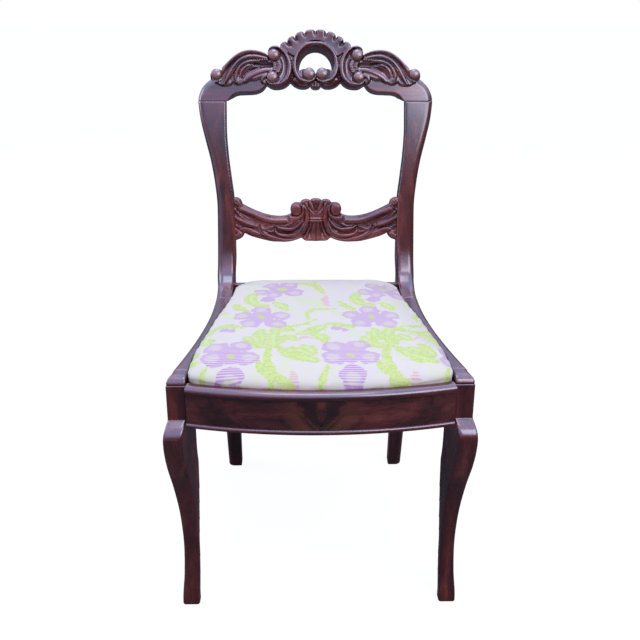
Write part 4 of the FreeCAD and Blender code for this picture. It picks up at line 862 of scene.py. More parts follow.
# Materials
class Paint:
    """Shader nodes of one material or world, added one by one, with values as numbers, colours or sockets."""

    def __init__(self, owner):
        owner.use_nodes = True
        self.owner = owner
        self.tree = owner.node_tree

    def set(self, socket, value):
        """Plug in another socket, or set a plain value."""
        if isinstance(value, bpy.types.NodeSocket):
            self.tree.links.new(value, socket)
        else:
            socket.default_value = (*value, 1) if socket.type == "RGBA" else value

    def add(self, kind, inputs=None, **settings):
        """A new node with its settings and its inputs."""
        made = self.tree.nodes.new("ShaderNode" + kind)
        for key, value in settings.items():
            setattr(made, key, value)
        for key, value in (inputs or {}).items():
            self.set(made.inputs[key], value)
        return made

    def place(self, space="Object"):
        """Coordinates of the point that is shaded."""
        return self.add("TexCoord").outputs[space]

    def parts(self, vector):
        """The X, Y and Z of a vector."""
        return self.add("SeparateXYZ", {0: vector}).outputs

    def mark(self, name):
        """A number that the vertices carry."""
        return self.add("Attribute", attribute_name=name).outputs["Fac"]

    def math(self, operation, *values):
        """Two or three values put together."""
        return self.add("Math", dict(enumerate(values)), operation=operation).outputs[0]

    def noise(self, vector, scale, detail, roughness=0.5, distortion=0.0):
        """Cloudy noise."""
        return self.add("TexNoise", {"Vector": vector, "Scale": scale, "Detail": detail,
                                     "Roughness": roughness, "Distortion": distortion}).outputs["Fac"]

    def ranged(self, value, low, high, start=0.0, end=1.0, kind="LINEAR"):
        """A value from one range brought into another."""
        return self.add("MapRange", {"Value": value, "From Min": low, "From Max": high, "To Min": start,
                                     "To Max": end}, interpolation_type=kind).outputs["Result"]

    def eased(self, value, low, high, start=0.0, end=1.0):
        """A value brought into another range, with soft ends."""
        return self.ranged(value, low, high, start, end, "SMOOTHSTEP")

    def mixed(self, below, above, share, blend="MIX"):
        """One colour over another."""
        return self.add("Mix", {"A": below, "B": above, "Factor": share}, data_type="RGBA",
                        blend_type=blend).outputs["Result"]

    def ramp(self, value, *stops):
        """A colour between stops of (value, colour)."""
        made = self.add("ValToRGB", {"Fac": value})
        elements = made.color_ramp.elements
        for element, (spot, colour) in zip(elements, (stops[0], stops[-1])):
            element.position, element.color = spot, (*colour, 1)
        for spot, colour in stops[1:-1]:
            elements.new(spot).color = (*colour, 1)
        return made.outputs["Color"]

    def finish(self, inputs, height=None, strength=1.0, depth=0.0):
        """Set the principled shader, with a bump where there is a height."""
        shader = self.tree.nodes["Principled BSDF"]
        for key, value in inputs.items():
            self.set(shader.inputs[key], value)
        if height is not None:
            bump = self.add("Bump", {"Height": height, "Strength": strength, "Distance": depth})
            self.set(shader.inputs["Normal"], bump.outputs["Normal"])
        return self.owner


def worn_share(paint, proud, patches):
    """How far the finish is gone: on proud edges that face up, and on the spots marked bare."""
    upward = paint.ranged(paint.parts(paint.add("NewGeometry").outputs["Normal"])["Z"], -0.25, 0.2, 0.04)
    exposed = paint.math("MULTIPLY", paint.ranged(proud, 0.03, 0.11, 0.0, 0.55), upward)
    return paint.math("MULTIPLY_ADD", paint.mark("bare"), patches, paint.math("MULTIPLY", exposed, patches))


def wood(name, along, dark, middle, light, gloss=0.24, coat=1.0, figured=None):
    """Varnished wood with grain along one axis, darkened in the hollows by painted shade and dirt, and rubbed pale
    on high spots.
    """
    paint = Paint(bpy.data.materials.new(name))
    place = paint.place()
    stretch = [1.0 if axis == along else 9.0 for axis in range(3)]
    grain = paint.add("Mapping", {"Vector": place, "Scale": stretch}).outputs["Vector"]
    pores = paint.noise(grain, 55.0, 4.0, 0.7)
    patches = paint.noise(place, 38.0, 5.0, 0.65)
    proud = paint.mark("proud")
    colour = paint.ramp(paint.noise(grain, 5.0, 6.0, 0.6, 0.6), (0.32, dark), (0.52, middle), (0.72, light))
    colour = paint.mixed(colour, paint.ranged(pores, 0.42, 0.6, 0.62), 1.0, "MULTIPLY")
    # Painted shade, partly dirt: the colour is darkened where the surface sinks below its neighbours, in hollows
    # and creases.
    colour = paint.mixed(colour, paint.ranged(proud, -0.1, -0.008, 0.22), 1.0, "MULTIPLY")
    colour = paint.mixed(colour, BARE_WOOD, worn_share(paint, proud, patches))
    if figured:
        colour = figured(paint, colour)
    rough = paint.ranged(patches, 0.35, 0.7, gloss, gloss + 0.16)
    return paint.finish({"Base Color": colour, "Roughness": rough, "Coat Weight": coat,
                         "Coat Roughness": 0.14, "Coat IOR": 1.6, "Specular IOR Level": 0.3}, pores, 0.12,
                        0.0006)


def crotch_figure(paint, colour):
    """Crotch veneer, bookmatched: dark plumes in a V from the middle joint, and a warm flame near it."""
    place = paint.parts(paint.place())
    mirrored = paint.math("ABSOLUTE", place["X"])
    slanted = paint.math("MULTIPLY_ADD", place["Z"], -0.9, mirrored)
    leaf_place = paint.add("CombineXYZ", {"X": slanted, "Z": place["Z"]}).outputs[0]
    plumes = paint.noise(leaf_place, 11.0, 5.0, 0.55, 1.6)
    colour = paint.mixed(colour, paint.eased(plumes, 0.4, 0.6, 0.4, 1.5), 1.0, "MULTIPLY")
    centre = paint.eased(mirrored, 0.075, 0.01, 0.0, 0.75)
    flame = paint.math("MULTIPLY", centre, paint.eased(plumes, 0.46, 0.58))
    return paint.mixed(colour, (0.21, 0.062, 0.026), flame)


def cloth(name, dark, light, pitch, depth):
    """Plain woven cloth, with threads over and under in both directions."""
    paint = Paint(bpy.data.materials.new(name))
    place = paint.place()
    turned = paint.add("TexChecker", {"Vector": place, "Scale": 1.0 / pitch, "Color1": dark, "Color2": light})
    level = paint.ranged(paint.noise(place, 60.0, 4.0, 0.7), 0.3, 0.7, 0.75, 1.1)
    colour = paint.mixed(turned.outputs["Color"], level, 1.0, "MULTIPLY")
    return paint.finish({"Base Color": colour, "Roughness": 0.9, "Specular IOR Level": 0.2},
                        turned.outputs["Fac"], 0.5, depth)


def steel(name, colour):
    """Dull fastener steel with spots of wear."""
    paint = Paint(bpy.data.materials.new(name))
    spots = paint.noise(paint.place(), 240.0, 4.0, 0.7)
    tone = paint.ramp(spots, (0.35, tuple(0.4 * c for c in colour)), (0.65, colour))
    rough = paint.ranged(spots, 0, 1, 0.3, 0.55)
    return paint.finish({"Base Color": tone, "Metallic": 1.0, "Roughness": rough})


BARE_WOOD = (0.42, 0.22, 0.19)
MAHOGANY = (0.034, 0.005, 0.007), (0.135, 0.018, 0.020), (0.30, 0.060, 0.040)
POPLAR = (0.16, 0.09, 0.045), (0.26, 0.16, 0.08), (0.36, 0.24, 0.13)
MAHOGANY_X = wood("mahogany_across", 0, *MAHOGANY)
MAHOGANY_Y = wood("mahogany_deep", 1, *MAHOGANY)
MAHOGANY_Z = wood("mahogany_upright", 2, *MAHOGANY)
SPLAT_WOOD = wood("mahogany_splat", 0, (0.085, 0.012, 0.014), (0.25, 0.045, 0.042), (0.42, 0.12, 0.09),
                  gloss=0.34, coat=0.5)
CROTCH = wood("crotch_veneer", 0, (0.036, 0.006, 0.008), (0.12, 0.020, 0.020), (0.24, 0.055, 0.04),
              gloss=0.18, figured=crotch_figure)
SECONDARY = wood("poplar", 1, *POPLAR, gloss=0.6, coat=0.0)
SECONDARY_X = wood("poplar_across", 0, *POPLAR, gloss=0.6, coat=0.0)
DOWELS = wood("birch_dowel", 1, (0.38, 0.25, 0.13), (0.5, 0.34, 0.19), (0.6, 0.44, 0.26),
              gloss=0.55, coat=0.0)
CAMBRIC = cloth("black_cambric", (0.012, 0.012, 0.013), (0.03, 0.03, 0.032), 0.0012, 0.0002)
HESSIAN = cloth("hessian", (0.26, 0.17, 0.085), (0.42, 0.3, 0.17), 0.0018, 0.0004)

SLOTS = {
    "mahogany": MAHOGANY_X,
    "crotch_veneer": CROTCH,
    "secondary_wood": SECONDARY,
    "dowel_wood": DOWELS,
    "steel_screw": steel("screw_steel", (0.42, 0.4, 0.38)),
    "blued_tack": steel("blued_tack", (0.1, 0.11, 0.14)),
    "jute_webbing": cloth("jute_webbing", (0.3, 0.19, 0.09), (0.46, 0.32, 0.17), 0.0022, 0.0005),
    "hessian_cloth": HESSIAN,
    "black_cambric": CAMBRIC,
}


def dress_hard_pieces():
    """Give each solid that shows as it is the material of its slot."""
    slot_of = {part["node"]: part["material_slot"] for part in frame["record"]["subparts"]}
    for node_name, item in frame["nodes"].items():
        chosen = SLOTS.get(slot_of[node_name], MAHOGANY_Z)
        if node_name in ("front_seat_rail", "seat_frame_front", "seat_frame_back"):
            chosen = SECONDARY_X
        for slot in item.material_slots:
            slot.link = "OBJECT"
            slot.material = chosen


# Seat
VOXEL, SWELL_CAP, SWELL_FRAMES = 0.005, 0.0035, 20
SIDE_SWELL, FRONT_SWELL = 6.5, 8.5
UNDERSIDE = FRAME_TOP + 3.6
# Rings of the blank above the rim: height and inset
CROWN = [(-1.5, 0.5), (0.4, 0.6), (2, -3), (4.5, -4.4), (7.5, -2.4), (10, 4), (11.8, 14), (13.2, 28),
         (13.8, 48), (14, 74), (14.1, 104)]


def seat_plan(inset, per=14):
    """Plan of the drop-in seat as a closed ring of points, drawn in by an inset."""
    radius = BOW_RADIUS - LIP - 1 - inset
    front_corner = max(14 - 0.3 * inset, 6)
    rear_corner = max(34 - 0.3 * inset, 8)
    rear = SEAT_Y + 4 - inset
    corner_x = LEG_IN - 3 - inset - front_corner
    start_y = BOW_Y - math.sqrt(radius ** 2 - corner_x ** 2) + front_corner
    y = np.linspace(start_y, rear - rear_corner, 3 * per)
    x = seat_side(y) - inset
    front_x = x[0] - front_corner
    front_y = BOW_Y - math.sqrt(radius ** 2 - front_x ** 2)
    turn = np.linspace(0, math.pi / 2, per)[1:-1]
    bow = np.linspace(0, front_x, 2 * per)
    back = np.linspace(x[-1] - rear_corner, 0, 2 * per)
    half_x = np.r_[bow, front_x + front_corner * np.sin(turn), x,
                   x[-1] - rear_corner + rear_corner * np.cos(turn), back]
    half_y = np.r_[BOW_Y - np.sqrt(radius ** 2 - bow ** 2), y[0] + (front_y - y[0]) * np.cos(turn), y,
                   y[-1] + rear_corner * np.sin(turn), np.full(len(back), rear)]
    return np.r_[half_x, -half_x[-2:0:-1]], np.r_[half_y, half_y[-2:0:-1]]


def seat_rim(y):
    """Height at which the cover comes out of the rebate: lower over the front bead and the rear rail."""
    front = np.clip((-236 - y) / 36, 0, 1)
    back = np.clip((y - 84) / 50, 0, 1)
    return RAIL_TOP - (RAIL_TOP - BEAD_TOP) * (front ** 2 * (3 - 2 * front) + back ** 2 * (3 - 2 * back))


def seat_blank():
    """The stuffed seat before it is blown up: rings drawn in towards a crowned top, and a flat underside."""
    x, y = seat_plan(0.8)
    rings = [np.stack([x, y, np.full(len(x), LEDGE + 0.6)], 1)]
    for level, inset in CROWN:
        x, y = seat_plan(inset)
        rim = seat_rim(y)
        crown = np.clip((level - 6) / 8, 0, 1) * 0.6 * (RAIL_TOP - rim)
        rings.append(np.stack([x, y, rim + level + crown], 1))
    count, total = len(rings[0]), len(rings)
    faces = ring_faces(total, count)
    faces.append(tuple(range(count))[::-1])
    faces.append(tuple(range((total - 1) * count, total * count)))
    return np.vstack(rings), faces


def settle(item):
    """Apply every modifier of an object."""
    bpy.context.view_layer.update()
    shape = item.evaluated_get(bpy.context.evaluated_depsgraph_get())
    mesh = bpy.data.meshes.new_from_object(shape)
    item.modifiers.clear()
    item.data = mesh


def hold(item, name, chosen):
    """A group of the vertices for which a condition is true."""
    item.vertex_groups.new(name=name).add(np.nonzero(chosen)[0].tolist(), 1.0, "REPLACE")


def swell(item):
    """Blow the blank up by cloth pressure, held in the rebate, by a few millimetres at most."""
    start = read_points(item)
    hold(item, "held", start[:, 2] < seat_rim(start[:, 1] / MM) * MM + 0.001)
    cloth_settings = item.modifiers.new("cloth", "CLOTH").settings
    cloth_settings.use_pressure = True
    cloth_settings.uniform_pressure_force = 4
    cloth_settings.vertex_group_mass = "held"
    cloth_settings.effector_weights.gravity = 0
    cloth_settings.tension_stiffness = cloth_settings.compression_stiffness = 20
    cloth_settings.bending_stiffness = 2
    for number in range(1, SWELL_FRAMES + 1):
        bpy.context.scene.frame_set(number)
    settle(item)
    bpy.context.scene.frame_set(1)
    item.vertex_groups.clear()
    moved = read_points(item) - start
    reach = np.linalg.norm(moved, axis=1, keepdims=True)
    write_points(item, start + moved * np.minimum(1, SWELL_CAP / np.maximum(reach, 1e-9)))


def tucked(points):
    """The underside raised to just above the hessian inside its wrapped edge, to leave the frame its room."""
    ring = np.stack(seat_plan(0), 1)
    ring = np.vstack([ring, ring[:1]])
    runs = np.r_[0, np.cumsum(np.hypot(*np.diff(ring, axis=0).T))]
    below = np.nonzero(points[:, 2] < FRAME_TOP)[0]
    gap, along = near(points[below, 0], points[below, 1], ring)
    under = below[gap > 1.6]
    edge = np.stack([np.interp(along[gap > 1.6] * runs[-1], runs, ring[:, k]) for k in (0, 1)], 1)
    gap = gap[gap > 1.6, None]
    inward = (points[under, :2] - edge) / gap
    points[under, :2] = np.where(gap < 4, edge + 1.3 * inward, points[under, :2])
    points[under, 2] = UNDERSIDE
    return points


def trimmed(item):
    """Hold the sides of the cushion in the rebate, and let them swell over the rails above it."""
    p = read_points(item) / MM
    x, y, z = p.T
    rim = seat_rim(y)
    over = np.clip((z - rim) / 2.5, 0, 1)
    side = SIDE_SWELL * over * np.clip((128 - y) / 40, 0, 1)
    limit = seat_side(y) - 0.4 + side
    x = np.clip(x, -limit, limit)
    radius = np.hypot(x, y - BOW_Y)
    most = BOW_RADIUS - LIP - 1.2 + FRONT_SWELL * over
    share = np.where(y < 0, np.minimum(1, most / radius), 1)
    x, y = x * share, np.minimum(BOW_Y + (y - BOW_Y) * share, SEAT_Y + 3.8)
    beside = (np.abs(x) > seat_side(y)) & (y > -240)
    z = np.where(beside & (z > RAIL_TOP - 3), np.maximum(z, RAIL_TOP + 0.5), z)
    ahead = (np.hypot(x, y - BOW_Y) > BOW_RADIUS - LIP - 1) & (y < 0) & (z > BEAD_TOP - 3)
    z = np.where(ahead, np.maximum(z, BEAD_TOP + 0.4), z)
    write_points(item, tucked(np.stack([x, y, np.maximum(z, LEDGE + 0.5)], 1)) * MM)


# Woven pattern of the cover: leaves and flowers that repeat every 180 mm across, drawn a little askew
REPEAT = 180.0
SHEAR, SHEAR_Y, SHIFT = 0.04, 209, 3
FAR_AWAY = 40.0
# Each flower: its centre, its petals as (across, along, radius), and the size of its yellow eye
FLOWERS = [
    ((-84, -62), [(-85, -36, 17), (-54, -57, 17), (-63, -88, 18), (-102, -86, 18), (-113, -56, 17)], 6.5),
    ((-48, 62), [(-82, 48, 14), (-66, 78, 14), (-35, 81, 16), (-28, 46, 17), (-62, 37, 14)], 8),
    ((48, -209), [(27, -182, 21), (63, -176, 18), (73, -213, 19), (24, -214, 20), (48, -254, 20)], 6),
]
# Each stroke: the points of its middle line and half its width
LEAVES = [
    ([(-88, 40), (-98, 36), (-103, 22), (-100, 4), (-92, -8), (-76, -13)], 8.5),
    ([(-131, 2), (-123, -15), (-110, -37)], 6),
    ([(-60, -4), (-49, -18), (-44, -30)], 8),
    ([(12, 104), (14, 82), (19, 62), (24, 44)], 5),
    ([(-20, 92), (-4, 90), (10, 80)], 7),
    ([(-8, -70), (-10, -52), (-2, -36), (14, -29), (36, -28)], 4),
    ([(4, -72), (-10, -88), (-26, -98), (-44, -104)], 3.6),
    ([(22, -90), (36, -94), (48, -98), (62, -104)], 6.5),
    ([(-86, -116), (-87, -134), (-84, -152)], 9),
    ([(-106, -146), (-99, -162), (-88, -172), (-74, -180)], 9.5),
    ([(-60, -104), (-64, -126), (-67, -150), (-66, -172)], 8.5),
    ([(-52, -140), (-54, -152), (-60, -168)], 6),
    ([(-62, -106), (-46, -112), (-34, -118)], 7),
    ([(-24, -128), (-8, -122), (6, -110), (18, -98)], 8.5),
    ([(-2, -134), (10, -146), (12, -160)], 9.5),
    ([(-46, -138), (-38, -146), (-34, -154)], 8),
    ([(-56, -192), (-44, -204), (-28, -214), (-6, -224)], 9),
    ([(-38, -184), (-26, -192), (-12, -208)], 9),
    ([(-20, -174), (-12, -186), (-6, -200)], 8),
    ([(-68, -172), (-60, -182), (-44, -188)], 4),
    ([(-70, -176), (-76, -196), (-78, -216), (-75, -236), (-66, -254), (-50, -268), (-26, -288)], 5.5),
    ([(-94, -222), (-86, -240), (-74, -256)], 5.5),
    ([(12, -236), (5, -256), (0, -272), (2, -294)], 4),
    ([(-84, -288), (-72, -272), (-74, -258)], 5),
    ([(-14, -290), (8, -284), (26, -280)], 5),
]
PALE = [([(-26, 16), (-10, 6), (4, -3), (20, -14)], 7), ([(-128, -66), (-138, -52), (-146, -40)], 5),
        ([(-160, 20), (-166, 0), (-160, -20)], 6)]
PINK = [([(27, 30), (25, 10), (27, -14)], 5), ([(-40, -248), (-39, -264), (-37, -284)], 5),
        ([(-27, -152), (-17, -143), (-5, -149)], 3.4)]
BUDS = [(-73, 14, 12), (36, -109, 8), (48, -116, 7)]
VEINS = [(points, 1.5) for points, half in LEAVES if half > 7]


def folded(x, centre):
    """Distance across from the nearest repeat of a motif."""
    return (x - centre + REPEAT / 2) % REPEAT - REPEAT / 2 + centre


def stroke_gap(x, y, shapes):
    """Distance outside the nearest of some tapered strokes."""
    gap = np.full(len(x), FAR_AWAY)
    for points, half in shapes:
        line = through(points, 5)
        away, along = near(folded(x, line[:, 0].mean()), y, line)
        taper = 0.45 + 0.55 * np.sin(np.pi * np.clip(along, 0.04, 0.96)) ** 0.7
        gap = np.minimum(gap, away - 1.3 * half * taper)
    return gap


def flower_gaps(x, y):
    """Distance outside the petals, the cream part of each petal and the eyes of the flowers."""
    petal, cream, eye = (np.full(len(x), FAR_AWAY) for _ in range(3))
    for (cx, cy), petals, size in FLOWERS:
        across = folded(x, cx)
        petal = np.minimum(petal, disc(across, y, cx, cy, 21))
        eye = np.minimum(eye, disc(across, y, cx, cy, size))
        for px, py, radius in petals:
            turn = np.arctan2(y - py, across - px)
            petal = np.minimum(petal, disc(across, y, px, py, radius * (1 + 0.05 * np.cos(5 * turn + px))))
            ix, iy = px + 0.12 * (px - cx), py + 0.12 * (py - cy)
            cream = np.minimum(cream, disc(across, y, ix, iy, 0.52 * radius))
    for bx, by, radius in BUDS:
        petal = np.minimum(petal, disc(folded(x, bx), y, bx, by, radius))
    return petal, cream, eye


def motif_marks(item):
    """How far each vertex of the cover lies outside the leaves, petals and other woven shapes."""
    p = read_points(item) / MM
    x, y = p[:, 0] + SHIFT + SHEAR * (p[:, 1] + SHEAR_Y), p[:, 1]
    for name, shapes in (("leaf", LEAVES), ("pale", PALE), ("pink", PINK), ("vein", VEINS)):
        mark(item, name, stroke_gap(x, y, shapes))
    for name, gap in zip(("petal", "cream", "eye"), flower_gaps(x, y)):
        mark(item, name, gap)


def make_fabric():
    """Woven cotton: pale ground, lime leaves and lilac flowers in fine crosswise lines."""
    paint = Paint(bpy.data.materials.new("floral_weave"))
    place = paint.place()
    along = paint.parts(place)["Y"]
    broad = paint.noise(place, 14.0, 3.0)
    fine_edge = paint.noise(place, 260.0, 2.0)
    lobed_edge = paint.noise(place, 75.0, 2.0)
    mixed, eased = paint.mixed, paint.eased

    def times(a, b):
        return paint.math("MULTIPLY", a, b)

    def uneven(noise, reach):
        return times(paint.math("SUBTRACT", noise, 0.5), reach)

    ragged = paint.math("ADD", uneven(fine_edge, 5.0), uneven(lobed_edge, 13.0))

    def inside(name, soft=0.9):
        return eased(paint.math("ADD", paint.mark(name), ragged), soft, -soft)

    def lines(pitch):
        return eased(paint.math("SINE", times(along, 2 * math.pi / pitch)), -0.7, 0.7)

    hatch = lines(0.0043)
    colour = mixed((0.82, 0.74, 0.65), (0.90, 0.80, 0.71), broad)
    haze = times(eased(lobed_edge, 0.42, 0.62), eased(broad, 0.4, 0.6, 0.1, 0.6))
    colour = mixed(colour, (0.78, 0.84, 0.46), times(haze, 0.9))
    colour = mixed(colour, (0.76, 0.84, 0.38), times(inside("pale", 4.0), 0.6))
    colour = mixed(colour, (0.84, 0.30, 0.44), times(inside("pink", 2.0), eased(hatch, 0, 1, 0.08, 0.6)))
    green = mixed((0.60, 0.76, 0.13), (0.72, 0.83, 0.26), eased(fine_edge, 0.35, 0.65))
    colour = mixed(colour, green, times(inside("leaf"), eased(lines(0.0021), 0, 1, 0.66, 0.96)))
    colour = mixed(colour, (0.82, 0.86, 0.52), times(inside("vein", 0.8), 0.5))
    colour = mixed(colour, (0.84, 0.80, 0.56), times(inside("petal"), 0.75))
    lilac = mixed((0.54, 0.22, 0.62), (0.66, 0.36, 0.70), broad)
    cover = paint.math("SUBTRACT", eased(hatch, 0, 1, 0.22, 0.92), times(inside("cream", 3.0), 0.34))
    colour = mixed(colour, lilac, times(inside("petal"), cover))
    colour = mixed(colour, (0.72, 0.80, 0.16), times(inside("eye", 1.6), 0.8))
    height = paint.math("ADD", times(lines(0.0013), 0.5), paint.noise(place, 900.0, 2.0))
    return paint.finish({"Base Color": colour, "Roughness": 0.82, "Sheen Weight": 0.15,
                         "Sheen Roughness": 0.5, "Specular IOR Level": 0.25}, height, 0.25, 0.0005)


FABRIC = make_fabric()


# Pieces of the seat
def make_cushion():
    """Padded seat: a voxel-remeshed blank, swollen, eased, and trimmed to the rebate and the frame."""
    points, faces = seat_blank()
    item = make_piece("seat_cushion", points, faces, FABRIC, body="slip_seat")
    remesh = item.modifiers.new("remesh", "REMESH")
    remesh.mode = "VOXEL"
    remesh.voxel_size = VOXEL
    settle(item)
    swell(item)
    smooth = item.modifiers.new("even", "SMOOTH")
    smooth.factor, smooth.iterations = 0.5, 10
    finer = item.modifiers.new("finer", "SUBSURF")
    finer.levels = finer.render_levels = 1
    settle(item)
    trimmed(item)
    p = read_points(item) / MM
    hold(item, "loose", p[:, 2] > seat_rim(p[:, 1]) + 1.5)
    settled = item.modifiers.new("settled", "SMOOTH")
    settled.factor, settled.iterations, settled.vertex_group = 0.5, 12, "loose"
    settle(item)
    item.vertex_groups.clear()
    item.data.materials.clear()
    item.data.materials.append(FABRIC)
    for face in item.data.polygons:
        face.use_smooth = True
    motif_marks(item)
    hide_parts("seat_cover", "seat_stuffing")


CLOTH = 0.6
RING_SHARES = np.linspace(1, 0.04, 16)


def make_stretched_sheet(name, node_name, level, inset, material):
    """A thin cloth stretched across the seat frame, with a slight ripple."""
    outer_x, outer_y = seat_plan(inset)
    middle_y = (outer_y.min() + outer_y.max()) / 2
    rings, count, middle = [], len(outer_x), len(RING_SHARES)
    for side, order in ((0, RING_SHARES), (CLOTH, RING_SHARES[::-1])):
        for share in order:
            x, y = outer_x * share, middle_y + (outer_y - middle_y) * share
            ripple = 0.25 * np.sin(x / 9) * np.sin(y / 11) * min(1, (1 - share) * 8)
            rings.append(np.stack([x, y, level + side + ripple], 1))
    faces = [face[::-1] for face in ring_faces(2 * middle, count, closed=True)
             if face[0] // count != middle - 1]
    faces.append(tuple((middle - 1) * count + k for k in range(count)))
    faces.append(tuple(middle * count + k for k in range(count))[::-1])
    item = make_piece(name, np.vstack(rings), faces, material, body="slip_seat")
    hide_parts(node_name)


def make_turned_edge():
    """The cover turned under the frame: a strip of the cloth with a slightly uneven raw edge."""
    rings = []
    for inset, level in ((1.2, 0.1), (16, 0.1), (29, 0.1), (29.4, 0.6), (29, 1.1), (16, 1.1), (1.2, 1.1)):
        x, y = seat_plan(inset)
        ragged = 0.6 * np.sin(np.arange(len(x)) * 1.7) * (inset > 20)
        rings.append(np.stack([x + ragged, y, np.full(len(x), LEDGE + level)], 1))
    faces = [face[::-1] for face in ring_faces(len(rings), len(rings[0]), closed=True)]
    item = make_piece("turned_under_edge", np.vstack(rings), faces, FABRIC, body="slip_seat")
    motif_marks(item)
    edge = np.stack(seat_plan(1.2), 1) * MM


# Front rail
VENEER = 1.5
TOP_BEAD, FOOT_BEAD = 11.0, 6.5
HALF_BOW = LEG_IN - 0.2


def nosing(low, high, back, proud, run, drop):
    """Section of a thumb moulding: a long rounded slope down from its top and a quick turn under."""
    turns = [math.pi / 2 * i / 9 for i in range(10)]
    foot = [(proud - 1.4 * (1 - math.cos(a)), low + 1.4 * (1 - math.sin(a))) for a in reversed(turns)]
    slope = [(proud - run * (1 - math.cos(a)), high - drop * (1 - math.sin(a))) for a in turns]
    return [(back, low)] + foot + slope + [(back, high)]


def make_front_rail():
    """The two veneers and the two beads of the bowed front rail."""
    low, high = RAIL_FOOT + FOOT_BEAD, BEAD_TOP - TOP_BEAD
    veneer = [(-VENEER, low), (0, low), (0, high), (-VENEER, high)]
    bow_strip("veneer_right", veneer, 0.0, HALF_BOW, CROTCH, "front_rail_veneer_right")
    bow_strip("veneer_left", veneer, -HALF_BOW, 0.0, CROTCH, "front_rail_veneer_left")
    bow_strip("top_bead", nosing(high, BEAD_TOP, -LIP, 3, 9, 8), -HALF_BOW, HALF_BOW, MAHOGANY_X,
              "front_rail_top_bead")
    bow_strip("foot_bead", nosing(RAIL_FOOT, low, -4, 3.2, 3.2, 4.4), -HALF_BOW, HALF_BOW, MAHOGANY_X,
              "front_rail_bottom_bead")


def make_carved_pieces():
    """Crest, splat, and the posts, legs and side rails, each made on the right and mirrored to the left."""
    crest = carved("carved_crest", board_field(crest_heights, -28, foot=crest_foot), (-214, -14, -29.5),
                   (214, 129, 13), 0.68, MAHOGANY_X, "crest_rail", crest_to_chair)
    bare_spots(crest, [(*UPPER_BUTTON, 9.5), (*LOWER_BUTTON, 9), (*RING_BUTTON, 10), (*END_BUTTON, 9)])
    carved("carved_splat", board_field(splat_heights, -20, cheek=149.6), (-151, -3, -21.5),
           (151, 79, 10), 0.6, SPLAT_WOOD, "cross_splat", splat_to_chair)
    for name, node_name, field, low, high, step, material in (
            ("post", "rear_post", rear_post_field,
             (144, 62, -1.5), (216, CHAIR_BACK + 4, CREST_JOINT + 2), 1.5, MAHOGANY_Z),
            ("leg", "front_leg", front_leg_field,
             (186, -279, -1.5), (242, -216, LEG_TOP + 2), 1.2, MAHOGANY_Z),
            ("rail", "side_rail", side_rail_field,
             (146, -256, RAIL_LOW - 2), (234, ARM_Y + 2, RAIL_TOP + 2), 1.3, MAHOGANY_Y)):
        right = carved(name + "_right", field, low, high, step, material, node_name + "_right",
                       relax=2, level=0.4)
        other_side(right, name + "_left", node_name + "_left")


# Camera, light and floor
FOCAL_PIXELS, PICTURE_PIXELS, SENSOR = 936.44, 640, 36
YAW, PITCH, ROLL = math.radians(1.403), math.radians(23.343), math.radians(-0.278)
EYE = (-0.0320, -1.4797, 1.0545)


def make_camera():
    """The photograph's viewpoint."""
    ahead = Vector((math.sin(YAW) * math.cos(PITCH), math.cos(YAW) * math.cos(PITCH), -math.sin(PITCH)))
    right = Vector((math.cos(YAW), -math.sin(YAW), 0))
    down = ahead.cross(right)
    turned = right * math.cos(ROLL) + down * math.sin(ROLL)
    fallen = down * math.cos(ROLL) - right * math.sin(ROLL)
    lens = bpy.data.cameras.new("camera")
    lens.sensor_width = SENSOR
    lens.lens = SENSOR * FOCAL_PIXELS / PICTURE_PIXELS
    camera = add_object("camera", lens)
    matrix = Matrix((turned, -fallen, -ahead)).transposed().to_4x4()
    matrix.translation = Vector(EYE)
    camera.matrix_world = matrix
    bpy.context.scene.camera = camera


def area_light(name, at, towards, size, power, colour):
    """A soft rectangular lamp aimed at a point."""
    lamp = bpy.data.lights.new(name, "AREA")
    lamp.shape = "RECTANGLE"
    lamp.size, lamp.size_y = size
    lamp.energy = power
    lamp.color = colour
    item = add_object(name, lamp)
    item.location = at
    item.rotation_euler = (Vector(towards) - Vector(at)).to_track_quat("-Z", "Y").to_euler()


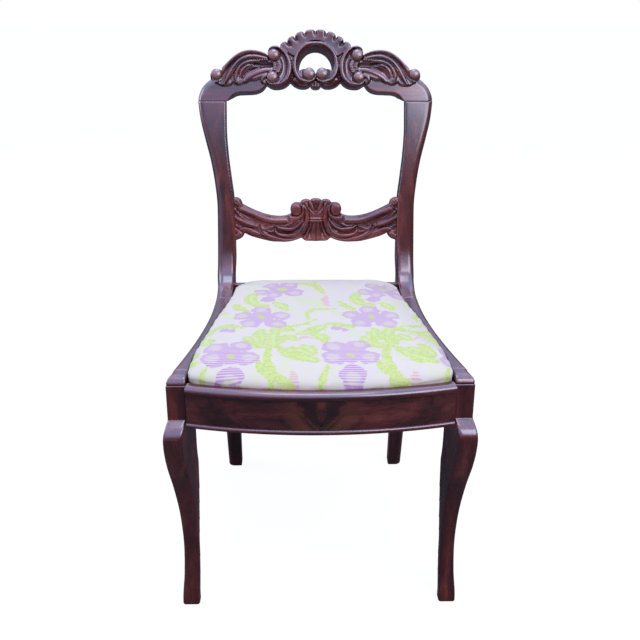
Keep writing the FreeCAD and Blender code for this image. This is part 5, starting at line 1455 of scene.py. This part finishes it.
def make_world():
    """White to the camera, and otherwise a soft room: bluish light from above and the left, dim elsewhere."""
    world = bpy.data.worlds.new("studio")
    bpy.context.scene.world = world
    paint = Paint(world)
    way = paint.parts(paint.place("Generated"))
    up = paint.eased(way["Z"], 0.2, 0.8)
    left = paint.eased(way["X"], 0.1, -0.9, 0.0, 0.3)
    tone = paint.mixed((0.07, 0.062, 0.07), (0.50, 0.60, 1.0), paint.math("MAXIMUM", up, left))
    seen = paint.add("LightPath").outputs
    level = paint.math("MULTIPLY_ADD", seen["Is Glossy Ray"], 3.0, 0.8)
    room = paint.add("Background", {"Color": tone, "Strength": level})
    white = paint.add("Background", {"Color": (1, 1, 1), "Strength": 1.0})
    chosen = paint.add("MixShader", {0: seen["Is Camera Ray"], 1: room.outputs[0], 2: white.outputs[0]})
    paint.set(paint.tree.nodes["World Output"].inputs["Surface"], chosen.outputs[0])


def make_floor():
    """Plain pale floor that keeps the chair's shadow, and is white to the camera away from it."""
    mesh = bpy.data.meshes.new("floor")
    mesh.from_pydata([(-6, -6, 0), (6, -6, 0), (6, 9, 0), (-6, 9, 0)], [], [(0, 1, 2, 3)])
    paint = Paint(bpy.data.materials.new("floor_paint"))
    glow = paint.math("MULTIPLY", paint.add("LightPath").outputs["Is Camera Ray"], 0.93)
    mesh.materials.append(paint.finish({
        "Base Color": (0.13, 0.127, 0.124), "Roughness": 0.95, "Specular IOR Level": 0.1,
        "Emission Color": (1, 1, 1), "Emission Strength": glow}))
    add_object("floor", mesh)


dress_hard_pieces()
make_carved_pieces()
make_front_rail()
make_cushion()
make_stretched_sheet("hessian_sheet", "hessian", FRAME_TOP + 2.7, 8.5, HESSIAN)
make_turned_edge()
make_stretched_sheet("under_cloth", "dust_cover", LEDGE - 0.7, 16.5, CAMBRIC)
make_camera()
make_world()
make_floor()
area_light("window_front_right", (1.15, -1.7, 2.15), (0.05, 0.1, 0.6), (1.5, 1.3), 33, (0.86, 0.88, 1.0))
area_light("window_left", (-2.3, 0.5, 1.5), (0, 0, 0.55), (1.1, 1.5), 24, (0.80, 0.85, 1.0))
area_light("above", (0.0, -0.2, 2.7), (0, 0, 0.4), (0.9, 1.1), 16, (0.84, 0.88, 1.0))
bpy.context.scene.view_settings.view_transform = "Standard"
